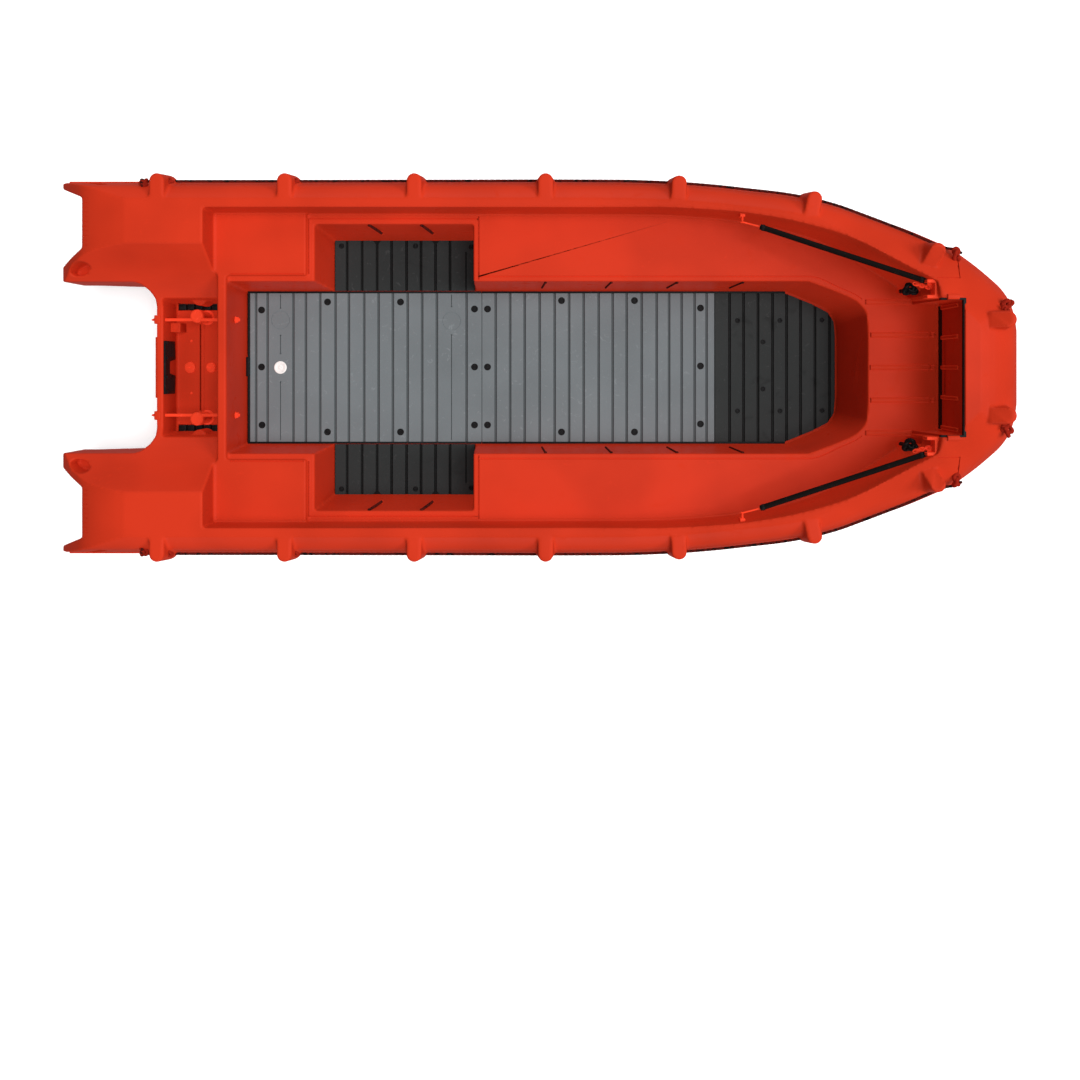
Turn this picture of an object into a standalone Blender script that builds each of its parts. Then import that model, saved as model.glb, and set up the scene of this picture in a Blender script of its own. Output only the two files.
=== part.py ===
"""Open inshore rescue boat with a double-skinned moulded hull, at real size, in metres.

Frame: +X to the bow, +Y to port, +Z up. The origin lies on the floor under the keel
skid, amidships on the centreline.
"""
import math

import bmesh
import bpy
from mathutils import Matrix, Vector

FIT = 0.0003                 # running gap between neighbouring solids

# Driving sizes of the hull
STERN_X = -2.53              # the skins start here and the stern cutters trim them
BEAM_HALF = 1.0
KEEL_Z = 0.030               # hull plating above the keel skid
BENCH_Z = 0.735
AFT_BENCH_Z = 0.765
FLOOR_Z = 0.270              # moulded floor under the panels
PANEL_TOP = 0.300
WELL_Z = 0.380
TRANSOM_TOP = 0.617
TRANSOM_AFT = -2.041
TRANSOM_FORE = -2.005
WELL_FORE = -1.713
TROUGH_AFT = -1.630
BENCH_AFT = -1.690
TAIL_X = -2.524              # aft end of the two sponson tails
TAIL_SPLIT = (0.600, 0.620)  # the tail's upper cut reaches down to here, its lower cut up to here
FAR_AFT, FAR_SIDE = -2.70, 1.20     # cutters reach past the boat to these
UNDER, OVER = -0.20, 1.45           # heights that clear the whole boat

# Half outline of the hull at the rub strake, stern to bow (x, y)
OUTLINE = [(STERN_X, 1.000), (-2.300, 1.000), (-2.000, 1.000), (-1.300, 1.000),
           (-0.600, 1.000), (0.000, 1.000), (0.450, 0.997), (0.750, 0.985),
           (0.950, 0.968), (1.150, 0.943), (1.300, 0.923), (1.450, 0.896),
           (1.600, 0.858), (1.720, 0.816), (1.840, 0.772), (1.960, 0.725),
           (2.080, 0.671), (2.207, 0.606), (2.260, 0.566), (2.320, 0.515),
           (2.382, 0.456), (2.436, 0.400), (2.477, 0.335), (2.500, 0.265),
           (2.5112, 0.190)]

# Profiles seen from the side: height over x
SHEER = [(STERN_X, 0.963), (0.200, 0.963), (0.550, 0.975), (0.850, 0.998), (1.150, 1.030),
         (1.450, 1.070), (1.750, 1.118), (2.000, 1.168), (2.200, 1.214), (2.600, 1.217)]
STRAKE = [(STERN_X, 0.620), (-1.500, 0.622), (-0.770, 0.635), (-0.240, 0.646),
          (0.290, 0.667), (0.710, 0.688), (0.930, 0.699), (1.350, 0.741),
          (1.770, 0.788), (2.200, 0.857), (2.500, 0.922)]
BELLY = [(STERN_X, 0.430), (-2.355, 0.455), (-2.200, 0.482), (-2.040, 0.495),
         (-1.510, 0.508), (0.290, 0.519), (1.770, 0.527), (2.090, 0.561),
         (2.300, 0.580), (2.600, 0.580)]
KEEL = [(STERN_X, KEEL_Z), (1.150, KEEL_Z), (1.280, 0.048), (1.400, 0.063), (1.560, 0.090),
        (1.660, 0.111), (1.770, 0.150), (1.850, 0.185), (1.980, 0.275), (2.100, 0.381),
        (2.160, 0.450), (2.236, 0.570)]
CHINE = [(STERN_X, 0.116), (-1.830, 0.116), (-0.980, 0.130), (-0.340, 0.148), (0.290, 0.180),
         (0.710, 0.206), (1.270, 0.275), (1.560, 0.370), (1.770, 0.445), (1.980, 0.529),
         (2.236, 0.600)]
CHINE_HALF = [(STERN_X, 0.800), (0.000, 0.800), (0.500, 0.785), (0.900, 0.750),
              (1.270, 0.700), (1.560, 0.650), (1.770, 0.575), (1.980, 0.460),
              (2.100, 0.370), (2.236, 0.230)]
INNER_RISE = [(-0.340, 0.04), (1.270, 0.16)]     # knuckle heights, share of keel to chine
OUTER_RISE = [(0.900, 0.80), (1.700, 0.42)]
HULL_STATIONS = [STERN_X, -2.200, -1.900, -1.600, -0.980, -0.340, 0.290, 0.710, 1.000, 1.270,
                 1.420, 1.560, 1.660, 1.770, 1.850, 1.980, 2.040, 2.100, 2.160, 2.236]

# Roundness of the gunwale and belly: share of the height, inset amidships, inset at the bow
GUNWALE_ROUND = [(0.00, 0.000, 0.000), (0.28, 0.008, 0.013), (0.45, 0.018, 0.039),
                 (0.60, 0.030, 0.071), (0.78, 0.050, 0.136), (0.90, 0.080, 0.200),
                 (1.00, 0.125, 0.275)]
BELLY_ROUND = [(1.00, 0.110, 0.240), (0.86, 0.070, 0.155), (0.75, 0.045, 0.104),
               (0.53, 0.015, 0.046), (0.34, 0.004, 0.013), (0.00, 0.000, 0.000)]
BOW_FROM, BOW_TO = 1.30, 2.30       # the gunwale grows rounder between these stations

STRAKE_END = -2.505

# Cockpit outlines (x, y), port half, stern to bow
RECESS_FOOT = [(-1.195, 0.826), (0.600, 0.822), (1.000, 0.800), (1.300, 0.752),
               (1.500, 0.697), (1.650, 0.630), (1.766, 0.560), (1.873, 0.496),
               (1.980, 0.426), (2.020, 0.395), (2.040, 0.352), (2.192, 0.350)]
RECESS_TOP = [(-1.195, 0.840), (0.600, 0.838), (1.000, 0.813), (1.250, 0.776),
              (1.450, 0.724), (1.600, 0.678), (1.700, 0.636), (1.800, 0.582),
              (1.900, 0.524), (2.036, 0.449), (2.046, 0.342), (2.163, 0.340)]
TROUGH_FOOT = [(TROUGH_AFT, 0.440), (1.466, 0.440), (1.628, 0.372), (1.722, 0.322),
               (1.752, 0.270), (1.760, 0.190)]
TROUGH_TOP = [(-1.622, 0.462), (1.492, 0.462), (1.651, 0.402), (1.755, 0.351),
              (1.805, 0.296), (1.812, 0.212)]
POCKET_FOOT = (-1.128, -0.317, 0.731)      # aft, fore, outboard
POCKET_TOP = (-1.156, -0.3035, 0.769)
POCKET_INNER = 0.40                        # the cut starts inside the trough
BENCH_CUT = BENCH_Z + 0.002                # the hollows below the benches are cut up to here
WELL_FOOT, WELL_MOUTH, WELL_HIGH = 0.365, 0.383, 0.80
AFT_SIDE_FOOT, AFT_SIDE_TOP, AFT_FORE = 0.826, 0.840, -1.17
LIP_HALF, LIP_FORE = 0.492, -1.18          # step from the aft bench down to the trough's edge

# The lower hull is divided inside its aft bulkhead and beside the splash well
STERN_SPLIT_X, STERN_SPLIT_Y = -1.660, 0.440

# Stern outlines
GAP_PLAN = [(FAR_AFT, 0.461), (-2.134, 0.461), (-2.100, 0.450), (-2.062, 0.414),
            (TRANSOM_AFT, 0.372)]
NOTCH_PLAN = [(FAR_AFT, 0.985), (TAIL_X, 0.9585), (-2.362, 0.9045), (-2.362, 0.645),
              (-2.530, 0.548), (FAR_AFT, 0.460)]
STERN_ROUND = [(TAIL_X, 0.688), (-2.472, 0.752), (-2.408, 0.822), (-2.345, 0.877),
               (-2.280, 0.911), (-2.218, 0.934), (-2.154, 0.952), (-2.090, 0.964)]
STERN_RAKE = [(TAIL_X, 0.397), (-2.435, 0.397), (-2.133, 0.243), (-2.117, 0.100),
              (-1.875, 0.095), (-1.855, KEEL_Z)]
WELL_SLOPE = [(0.645, 0.964), (0.490, 0.742), (0.390, 0.650), (0.330, TRANSOM_TOP)]

# Fittings
SKID_HALF = 0.100
SKID_PROFILE = [(-1.868, KEEL_Z - FIT), (-1.842, 0.0), (1.127, 0.0), (1.165, KEEL_Z - FIT)]
STEM_PROFILE = [(2.048, 0.376), (2.239, 0.397), (2.239, 0.560), (2.100, 0.560)]
STEM_SEAT = [(2.0477, 0.360), (2.30, 0.360), (2.30, 0.5603), (2.0997, 0.5603),
             (2.0477, 0.3757)]
STEM_HALF = 0.060
STEM_EYE = (2.202, 0.4446, 0.014)                # centre and radius of the towing eye
STUD_X = [-1.932, -1.272, -0.596, 0.082, 0.777, 1.452, 2.075]
STUD_TOP_R, STUD_FOOT_R, STUD_DROP = 0.038, 0.058, 0.205
STUD_OUT = 0.025                    # tip beyond the hull's widest line, amidships
STUD_LENGTH = 0.150                 # from the tip's centre inboard
BOW_STUD = ((2.352, 0.238), 1.244, 0.150)        # tip's centre, top and depth
BAR_R = 0.0145                      # hose-covered bars of the bow
LINE_R = 0.0075
KNOT_R = 0.018
KNOT_NEAR, KNOT_FAR = 0.004, 0.036  # a knot's ends, back and on from the line's end
LINE_LIFT = 0.004                   # air between a grab line and the gunwale
LINE_ENDS = (-2.038, 2.138)
HAND_HOLE = ((-2.380, 0.5225), (0.120, 0.066))   # centre and size in plan
HAND_HOLE_Z = 0.660
LINE_SHARE = 0.52                   # height of the grab line between strake and sheer
HANDLE_SLOT = ((-2.385, 0.731), (-2.252, 0.842), 0.026, 0.055)   # two ends, radius, depth
BAR_FOOT = ((1.172, 1.212), (0.712, 0.790), (0.938, 0.978))
BAR_HEAD = ((1.988, 2.045), (0.372, 0.444), (1.090, 1.150))
BAR_FOOT_AT, BAR_HEAD_AT = (0.733, 0.958), (0.424, 1.120)        # (y, z) of the bar's ends
ROD_Y, ROD_Z, ROD_R = 0.262, 0.575, 0.0085
ROD_AFT, ROD_FORE = TRANSOM_AFT - 0.018, -1.596
EYE_X, EYE_R, EYE_HALF = TRANSOM_AFT - 0.026, 0.022, 0.006
NUT_X, NUT_R = (-1.6195, -1.606), 0.016
POST_X, POST_Y, POST_R, POST_HEAD_R = -1.832, 0.282, 0.031, 0.037
POST_NECK, POST_TOP = 0.525, 0.5655
PLUG_AFT = (-1.927, 0.031, 0.014)                # x, radius and height
PLUG_FORE = (-1.808, 0.028, 0.020)
DRAIN = (-1.435, 0.036, 0.0042)
OUTER_PLATE_HALF, OUTER_PLATE_Z, OUTER_PLATE_THICK = 0.166, (0.360, 0.606), 0.010
PLATE_THICK = 0.010
CLAMP_PLATE = [(-0.146, 0.612), (-0.146, 0.440), (-0.046, 0.430), (-0.032, 0.530),
               (0.032, 0.530), (0.046, 0.430), (0.146, 0.440), (0.146, 0.612)]
OUTLET_BLOCK = (-1.948, (0.196, 0.250), 0.500)   # fore face, sides and top
PANEL_HALF, PANEL_JOINT = 0.4375, 0.001
PANEL_AFT_X, PANEL_MID_X, PANEL_BOW_X = -1.624, -0.2815, 1.0525
PANEL_BOW = [(1.462, PANEL_HALF), (1.624, 0.370), (1.715, 0.320), (1.745, 0.268),
             (1.752, 0.188)]
MAT_X, MAT_Y, MAT_TOP = (-1.1245, -0.3205), (0.4405, 0.7285), PANEL_TOP - 0.008


def level(profile, x):
    """Height of a side profile at x, straight between its points."""
    if x <= profile[0][0]:
        return profile[0][1]
    for (x0, z0), (x1, z1) in zip(profile, profile[1:]):
        if x <= x1:
            return z0 + (z1 - z0) * (x - x0) / (x1 - x0)
    return profile[-1][1]


def bow_share(x):
    """0 amidships, 1 at the round bow, smooth between."""
    t = min(max((x - BOW_FROM) / (BOW_TO - BOW_FROM), 0.0), 1.0)
    return t * t * (3.0 - 2.0 * t)


def outline_normals():
    """Outward unit normals of the half outline, mean of the two edges at each point."""
    edges = []
    for (x0, y0), (x1, y1) in zip(OUTLINE, OUTLINE[1:] + [(OUTLINE[-1][0], -OUTLINE[-1][1])]):
        edges.append(Vector((y0 - y1, x1 - x0)).normalized())
    normals = [edges[0]]
    for before, after in zip(edges, edges[1:]):
        mean = (before + after).normalized()
        normals.append(mean / max(mean.dot(after), 0.5))
    return normals


NORMALS = outline_normals()


def skin_point(i, share, inset, upper):
    """Point of the hull skin at outline point i, a share of the way from the rub strake."""
    x, y = OUTLINE[i]
    strake = level(STRAKE, x)
    end = level(SHEER, x) if upper else level(BELLY, x)
    n = NORMALS[i]
    return Vector((x - n.x * inset, y - n.y * inset, strake + share * (end - strake)))


def round_inset(table, x, share):
    """Inset of the rounded side at a share of its height."""
    rows = sorted(table)
    w = bow_share(x)
    for (s0, m0, b0), (s1, m1, b1) in zip(rows, rows[1:]):
        if share <= s1:
            t = (share - s0) / (s1 - s0)
            return (m0 + (m1 - m0) * t) * (1 - w) + (b0 + (b1 - b0) * t) * w
    return rows[-1][1] * (1 - w) + rows[-1][2] * w


def collection(name):
    col = bpy.data.collections.new(name)
    bpy.context.scene.collection.children.link(col)
    return col


def material(name, colour, roughness, metallic=0.0):
    mat = bpy.data.materials.new(name)
    mat.use_nodes = True
    shader = mat.node_tree.nodes["Principled BSDF"]
    shader.inputs["Base Color"].default_value = (*colour, 1.0)
    shader.inputs["Roughness"].default_value = roughness
    shader.inputs["Metallic"].default_value = metallic
    return mat


def add_object(name, bm, mat=None):
    """Store a bmesh as an object of the boat, or as a cutter when it has no material."""
    bm.normal_update()
    bmesh.ops.recalc_face_normals(bm, faces=bm.faces)
    mesh = bpy.data.meshes.new(name)
    bm.to_mesh(mesh)
    bm.free()
    obj = bpy.data.objects.new(name, mesh)
    if mat is None:
        CUTTERS.objects.link(obj)
        obj.hide_render = True
        obj.display_type = "WIRE"
    else:
        BOAT.objects.link(obj)
        mesh.materials.append(mat)
    return obj


def boolean(obj, tool, operation="DIFFERENCE"):
    mod = obj.modifiers.new(tool.name, "BOOLEAN")
    mod.operation = operation
    mod.solver = "EXACT"
    mod.object = tool


def bevel(obj, width, segments=2, angle=40.0):
    mod = obj.modifiers.new("bevel", "BEVEL")
    mod.width = width
    mod.segments = segments
    mod.limit_method = "ANGLE"
    mod.angle_limit = math.radians(angle)


def skin_hull(name, halves, mat=None):
    """Skin mirrored half sections; each runs bottom to top on the port side."""
    bm = bmesh.new()
    port = [[bm.verts.new(p) for p in half] for half in halves]
    star = [[bm.verts.new((p[0], -p[1], p[2])) for p in half] for half in halves]
    rows = len(halves[0])
    for i in range(len(halves) - 1):
        for k in range(rows - 1):
            bm.faces.new((port[i][k], port[i + 1][k], port[i + 1][k + 1], port[i][k + 1]))
            bm.faces.new((star[i][k], star[i][k + 1], star[i + 1][k + 1], star[i + 1][k]))
        for k in (0, rows - 1):
            bm.faces.new((port[i][k], star[i][k], star[i + 1][k], port[i + 1][k]))
    for i in (0, -1):
        for k in range(rows - 1):
            bm.faces.new((port[i][k], port[i][k + 1], star[i][k + 1], star[i][k]))
    return add_object(name, bm, mat)


def prism(name, outline, low, high, axis, mat=None):
    """Extrude an outline along an axis: 'z' takes (x, y), 'y' takes (x, z), 'x' takes (y, z)."""
    place = {"z": lambda a, b, h: (a, b, h), "y": lambda a, b, h: (a, h, b),
             "x": lambda a, b, h: (h, a, b)}[axis]
    bm = bmesh.new()
    face = bm.faces.new([bm.verts.new(place(a, b, low)) for a, b in outline])
    grown = bmesh.ops.extrude_face_region(bm, geom=[face])["geom"]
    up = Vector(place(0.0, 0.0, high - low))
    bmesh.ops.translate(bm, vec=up, verts=[v for v in grown if isinstance(v, bmesh.types.BMVert)])
    return add_object(name, bm, mat)


def both_sides(half):
    """Close a port half outline with its mirror image."""
    return half + [(x, -y) for x, y in reversed(half)]


def frustum_block(name, foot, foot_z, top, top_z, mat=None):
    """Loft between two outlines with equal counts of points at two heights."""
    bm = bmesh.new()
    low = [bm.verts.new((x, y, foot_z)) for x, y in foot]
    high = [bm.verts.new((x, y, top_z)) for x, y in top]
    edges = [bm.edges.new((ring[i - 1], ring[i])) for ring in (low, high)
             for i in range(len(ring))]
    bmesh.ops.bridge_loops(bm, edges=edges)
    bm.faces.new(low)
    bm.faces.new(high)
    return add_object(name, bm, mat)


def oval(centre, size, steps=16):
    return [(centre[0] + size[0] / 2 * math.cos(a), centre[1] + size[1] / 2 * math.sin(a))
            for a in (2 * math.pi * k / steps for k in range(steps))]


def rectangle(x0, x1, y0, y1):
    return [(x0, y0), (x1, y0), (x1, y1), (x0, y1)]


def box(name, x, y, z, mat=None):
    return prism(name, rectangle(*x, *y), z[0], z[1], "z", mat)


def cylinder(name, start, end, radius, mat=None, sides=16, end_radius=None):
    """Cylinder or cone between two points."""
    start, end = Vector(start), Vector(end)
    bm = bmesh.new()
    top = radius if end_radius is None else end_radius
    bmesh.ops.create_cone(bm, cap_ends=True, segments=sides, radius1=radius, radius2=top,
                          depth=(end - start).length)
    turn = (end - start).to_track_quat("Z", "Y").to_matrix().to_4x4()
    bm.transform(Matrix.Translation((start + end) / 2) @ turn)
    return add_object(name, bm, mat)


def capsule_block(name, ends, radius, low, high):
    """Slot with round ends in the side view, cut along Y."""
    a, b = Vector(ends[0]), Vector(ends[1])
    along = math.atan2(b.y - a.y, b.x - a.x)
    steps = 6
    points = [b + radius * Vector((math.cos(t), math.sin(t)))
              for t in (along - math.pi / 2 + math.pi * k / steps for k in range(steps + 1))]
    points += [a + radius * Vector((math.cos(t), math.sin(t)))
               for t in (along + math.pi / 2 + math.pi * k / steps for k in range(steps + 1))]
    return prism(name, [tuple(p) for p in points], low, high, "y")


def sweep(name, path, radius, mat=None, sides=8):
    """Round bar along a path of points, capped at both ends."""
    bm = bmesh.new()
    rings = []
    for i, point in enumerate(path):
        ahead = (path[min(i + 1, len(path) - 1)] - path[max(i - 1, 0)]).normalized()
        side = ahead.cross(Vector((0, 0, 1))).normalized()
        up = side.cross(ahead)
        rings.append([bm.verts.new(point + radius * (math.cos(a) * side + math.sin(a) * up))
                      for a in (2 * math.pi * k / sides for k in range(sides))])
    for before, after in zip(rings, rings[1:]):
        for k in range(sides):
            bm.faces.new((before[k - 1], before[k], after[k], after[k - 1]))
    bm.faces.new(rings[0])
    bm.faces.new(rings[-1])
    return add_object(name, bm, mat)


def hull_halves():
    """Half sections of the belly of the hull, below the rub strake."""
    halves = []
    for i, (x, _) in enumerate(OUTLINE):
        half = []
        for share, mid, bow in BELLY_ROUND:
            inset = mid * (1 - bow_share(x)) + bow * bow_share(x)
            half.append(skin_point(i, share, inset, False))
        half[-1].z -= FIT / 2
        halves.append(half)
    return halves


def bottom_halves():
    """Half sections of the planing bottom: keel, inner knuckle, outer knuckle, chine, flank."""
    halves = []
    for x in HULL_STATIONS:
        keel, chine, half = level(KEEL, x), level(CHINE, x), level(CHINE_HALF, x)
        lift = chine - keel
        inner, outer = level(INNER_RISE, x), level(OUTER_RISE, x)
        under = max(level(BELLY, x), chine) + 0.02
        halves.append([(x, min(0.10, 0.35 * half), keel),
                       (x, 0.44 * half, keel + inner * lift),
                       (x, 0.46 * half, keel + (inner + 0.08) * lift),
                       (x, 0.78 * half, keel + outer * lift),
                       (x, 0.80 * half, keel + (outer + 0.10) * lift),
                       (x, half, chine),
                       (x, half + 0.10, under)])
    return halves


def deck_halves():
    """Half sections of the deck moulding, from the rub strake up to the gunwale's crown."""
    halves = []
    for i, (x, _) in enumerate(OUTLINE):
        half = []
        for share, mid, bow in GUNWALE_ROUND:
            inset = mid * (1 - bow_share(x)) + bow * bow_share(x)
            half.append(skin_point(i, share, inset, True))
        half[0].z += FIT / 2
        halves.append(half)
    return halves


def strake_halves():
    """Port half of the rub strake: a belt with chamfered edges round the hull."""
    half_height, proud, chamfer = 0.026, 0.0125, 0.007
    rows = [(-half_height, 0.0), (-half_height, proud - chamfer), (-half_height + chamfer, proud),
            (half_height - chamfer, proud), (half_height, proud - chamfer), (half_height, 0.0)]
    port = []
    for i, (x, y) in enumerate(OUTLINE):
        n = NORMALS[i]
        x = max(x, STRAKE_END)
        z = level(STRAKE, x)
        port.append([Vector((x + n.x * (FIT + out), y + n.y * (FIT + out), z + up))
                     for up, out in rows])
    return port


def make_cutters():
    """Every hollow that the two skins share, and the trimmed stern."""
    cut = {}
    cut["gap"] = prism("cut_outboard_gap", both_sides(GAP_PLAN), UNDER, OVER, "z")
    for side, sign in (("port", 1), ("starboard", -1)):
        plan = [(x, sign * y) for x, y in NOTCH_PLAN]
        cut["notch_" + side] = prism("cut_notch_" + side, plan, UNDER, OVER, "z")
    top = [(FAR_AFT, OVER), (FAR_AFT, TAIL_SPLIT[0]), (TAIL_X, TAIL_SPLIT[0])]
    top += STERN_ROUND + [(STERN_ROUND[-1][0], OVER)]
    cut["stern_top"] = prism("cut_stern_top", top, -FAR_SIDE, FAR_SIDE, "y")
    rake = [(FAR_AFT, UNDER), (FAR_AFT, TAIL_SPLIT[1]), (TAIL_X, TAIL_SPLIT[1])]
    rake += STERN_RAKE + [(STERN_RAKE[-1][0], UNDER)]
    cut["stern_rake"] = prism("cut_stern_rake", rake, -FAR_SIDE, FAR_SIDE, "y")
    slope = [(WELL_SLOPE[0][0], OVER)] + WELL_SLOPE
    slope += [(-y, z) for y, z in reversed(slope)]
    cut["slope"] = prism("cut_well_slope", slope, FAR_AFT, BENCH_AFT, "x")
    foot = rectangle(TRANSOM_FORE, WELL_FORE - 0.01, -WELL_FOOT, WELL_FOOT)
    mouth = rectangle(TRANSOM_FORE, WELL_FORE, -WELL_MOUTH, WELL_MOUTH)
    cut["well"] = frustum_block("cut_splash_well", foot, WELL_Z, mouth, WELL_HIGH)
    cut["recess"] = frustum_block("cut_recess", both_sides(RECESS_FOOT), BENCH_Z,
                                  both_sides(RECESS_TOP), OVER)
    foot = rectangle(BENCH_AFT, AFT_FORE, -AFT_SIDE_FOOT, AFT_SIDE_FOOT)
    mouth = rectangle(BENCH_AFT - 0.004, AFT_FORE, -AFT_SIDE_TOP, AFT_SIDE_TOP)
    cut["aft"] = frustum_block("cut_aft_recess", foot, AFT_BENCH_Z, mouth, OVER)
    cut["lip"] = box("cut_aft_lip", (TROUGH_AFT - 0.02, LIP_FORE), (-LIP_HALF, LIP_HALF),
                     (BENCH_Z, OVER))
    cut["trough"] = frustum_block("cut_trough", both_sides(TROUGH_FOOT), FLOOR_Z,
                                  both_sides(TROUGH_TOP), BENCH_CUT)
    for side, sign in (("port", 1), ("starboard", -1)):
        foot, top = (rectangle(aft, fore, POCKET_INNER * sign, outboard * sign)
                     for aft, fore, outboard in (POCKET_FOOT, POCKET_TOP))
        cut["pocket_" + side] = frustum_block("cut_pocket_" + side, foot, FLOOR_Z,
                                              top, BENCH_CUT)
    near, far, radius, depth = HANDLE_SLOT
    for side, sign in (("port", 1), ("starboard", -1)):
        cut["slot_" + side] = capsule_block("cut_handle_" + side, (near, far), radius,
                                            sign * (BEAM_HALF - depth), sign * (BEAM_HALF + 0.1))
    return cut


def outline_at(x):
    """Outline point, normal and heights where the outline passes x."""
    for i in range(len(OUTLINE) - 1):
        x0, x1 = OUTLINE[i][0], OUTLINE[i + 1][0]
        if x0 <= x <= x1:
            t = (x - x0) / (x1 - x0)
            y = OUTLINE[i][1] + (OUTLINE[i + 1][1] - OUTLINE[i][1]) * t
            return Vector((x, y)), (NORMALS[i] * (1 - t) + NORMALS[i + 1] * t).normalized()
    return Vector(OUTLINE[-1]), NORMALS[-1]


def line_path(low, high, lift, sign):
    """Points along the outside of the gunwale, lift beyond the skin."""
    points = []
    for x in [low] + [x for x, _ in OUTLINE if low < x < high] + [high]:
        point, normal = outline_at(x)
        out = point + normal * (lift - round_inset(GUNWALE_ROUND, x, LINE_SHARE))
        strake = level(STRAKE, x)
        points.append(Vector((out.x, sign * out.y,
                              strake + LINE_SHARE * (level(SHEER, x) - strake))))
    return points


def stud(name, centre, normal, foot_z, top_z):
    """Half cone with a flat top that runs inboard into the gunwale."""
    across = Vector((-normal.y, normal.x))
    steps = 6
    rings = []
    for radius in (STUD_FOOT_R, STUD_TOP_R):
        ring = [centre + radius * (math.cos(a) * normal + math.sin(a) * across)
                for a in (-math.pi / 2 + math.pi * k / steps for k in range(steps + 1))]
        ring += [centre + radius * across - STUD_LENGTH * normal,
                 centre - radius * across - STUD_LENGTH * normal]
        rings.append([tuple(p) for p in ring])
    return frustum_block(name, rings[0], foot_z, rings[1], top_z)


def make_studs():
    """Moulded bosses on the gunwale that the grab line runs through."""
    studs = []
    for sign, side in ((1, "port"), (-1, "starboard")):
        for k, x in enumerate(STUD_X):
            point, normal = outline_at(x)
            point = point + normal * (STUD_OUT - STUD_FOOT_R)
            point -= normal * 0.5 * bow_share(x) * STUD_LENGTH
            top = level(SHEER, x) + 0.002
            studs.append(stud(f"stud_{side}_{k}", Vector((point.x, sign * point.y)),
                              Vector((normal.x, sign * normal.y)), top - STUD_DROP, top))
        (x, y), top, depth = BOW_STUD
        studs.append(stud("stud_bow_" + side, Vector((x, sign * y)), Vector((1.0, 0.0)),
                          top - depth, top))
    return studs


def make_lower_hull(name, cut, extras, keep=None):
    """One block of the lower hull: its skin, the hollows that meet it and the box it keeps."""
    hull = skin_hull(name, hull_halves(), SHELL)
    boolean(hull, PLANING_BOTTOM, "UNION")
    for hollow in extras:
        boolean(hull, cut[hollow])
    if keep:
        boolean(hull, box("keep_" + name, *keep), "INTERSECT")
    triangulate(hull)
    return hull


def triangulate(skin):
    split = skin.modifiers.new("split", "TRIANGULATE")
    split.quad_method = "BEAUTY"
    split.ngon_method = "BEAUTY"


def make_skins():
    """The mouldings of the boat and the strake that covers their seam."""
    cut = make_cutters()
    cut["stem"] = prism("cut_stem", STEM_SEAT, -STEM_HALF - FIT, STEM_HALF + FIT, "y")
    for side, sign in (("port", 1), ("starboard", -1)):
        cut["rod_" + side] = cylinder("cut_rod_" + side, (TRANSOM_AFT - 0.2, sign * ROD_Y, ROD_Z),
                                      (TROUGH_AFT + 0.13, sign * ROD_Y, ROD_Z), ROD_R + FIT,
                                      sides=12)
    high = (UNDER, OVER)
    aft = (FAR_AFT, STERN_SPLIT_X - FIT)
    make_lower_hull("hull_bottom", cut,
                    ("stern_rake", "recess", "trough", "pocket_port", "pocket_starboard", "stem",
                     "rod_port", "rod_starboard"),
                    ((STERN_SPLIT_X, -FAR_AFT), (-FAR_SIDE, FAR_SIDE), high))
    make_lower_hull("transom_and_well", cut,
                    ("gap", "stern_rake", "slope", "well", "rod_port", "rod_starboard"),
                    (aft, (-STERN_SPLIT_Y, STERN_SPLIT_Y), high))
    for side, sign in (("port", 1), ("starboard", -1)):
        across = sorted((sign * (STERN_SPLIT_Y + FIT), sign * FAR_SIDE))
        make_lower_hull("stern_float_" + side, cut, ("gap", "notch_" + side, "stern_rake"),
                        (aft, across, high))

    deck = skin_hull("deck_moulding", deck_halves(), SHELL)
    for stud in make_studs():
        boolean(deck, stud, "UNION")
    for name in ("gap", "notch_port", "notch_starboard", "stern_top", "slope", "well", "recess",
                 "aft", "lip", "trough", "pocket_port", "pocket_starboard", "slot_port",
                 "slot_starboard"):
        boolean(deck, cut[name])
    for sign in (1, -1):
        path = line_path(LINE_ENDS[0] - 0.02, LINE_ENDS[1] + 0.02, LINE_R + LINE_LIFT, sign)
        boolean(deck, sweep(f"cut_line_{sign}", path, LINE_R + 2 * FIT))
        hole = prism(f"cut_hand_hole_{sign}", [(x, sign * y) for x, y in oval(*HAND_HOLE)],
                     HAND_HOLE_Z, OVER, "z")
        boolean(deck, hole)

    triangulate(deck)

    bm = bmesh.new()
    port = strake_halves()
    belt = port + [[Vector((p.x, -p.y, p.z)) for p in ring] for ring in reversed(port)]
    rings = [[bm.verts.new(p) for p in ring] for ring in belt]
    for before, after in zip(rings, rings[1:]):
        for k in range(len(before)):
            bm.faces.new((before[k - 1], before[k], after[k], after[k - 1]))
    bm.faces.new(rings[0])
    bm.faces.new(rings[-1])
    add_object("rub_strake", bm, SHELL)


def make_bottom_fittings():
    prism("keel_skid", SKID_PROFILE, -SKID_HALF, SKID_HALF, "y", DARK_RUBBER)
    stem = prism("stem_bracket", STEM_PROFILE, -STEM_HALF, STEM_HALF, "y", SHELL)
    x, z, radius = STEM_EYE
    boolean(stem, cylinder("cut_stem_eye", (x, -0.1, z), (x, 0.1, z), radius))


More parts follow.
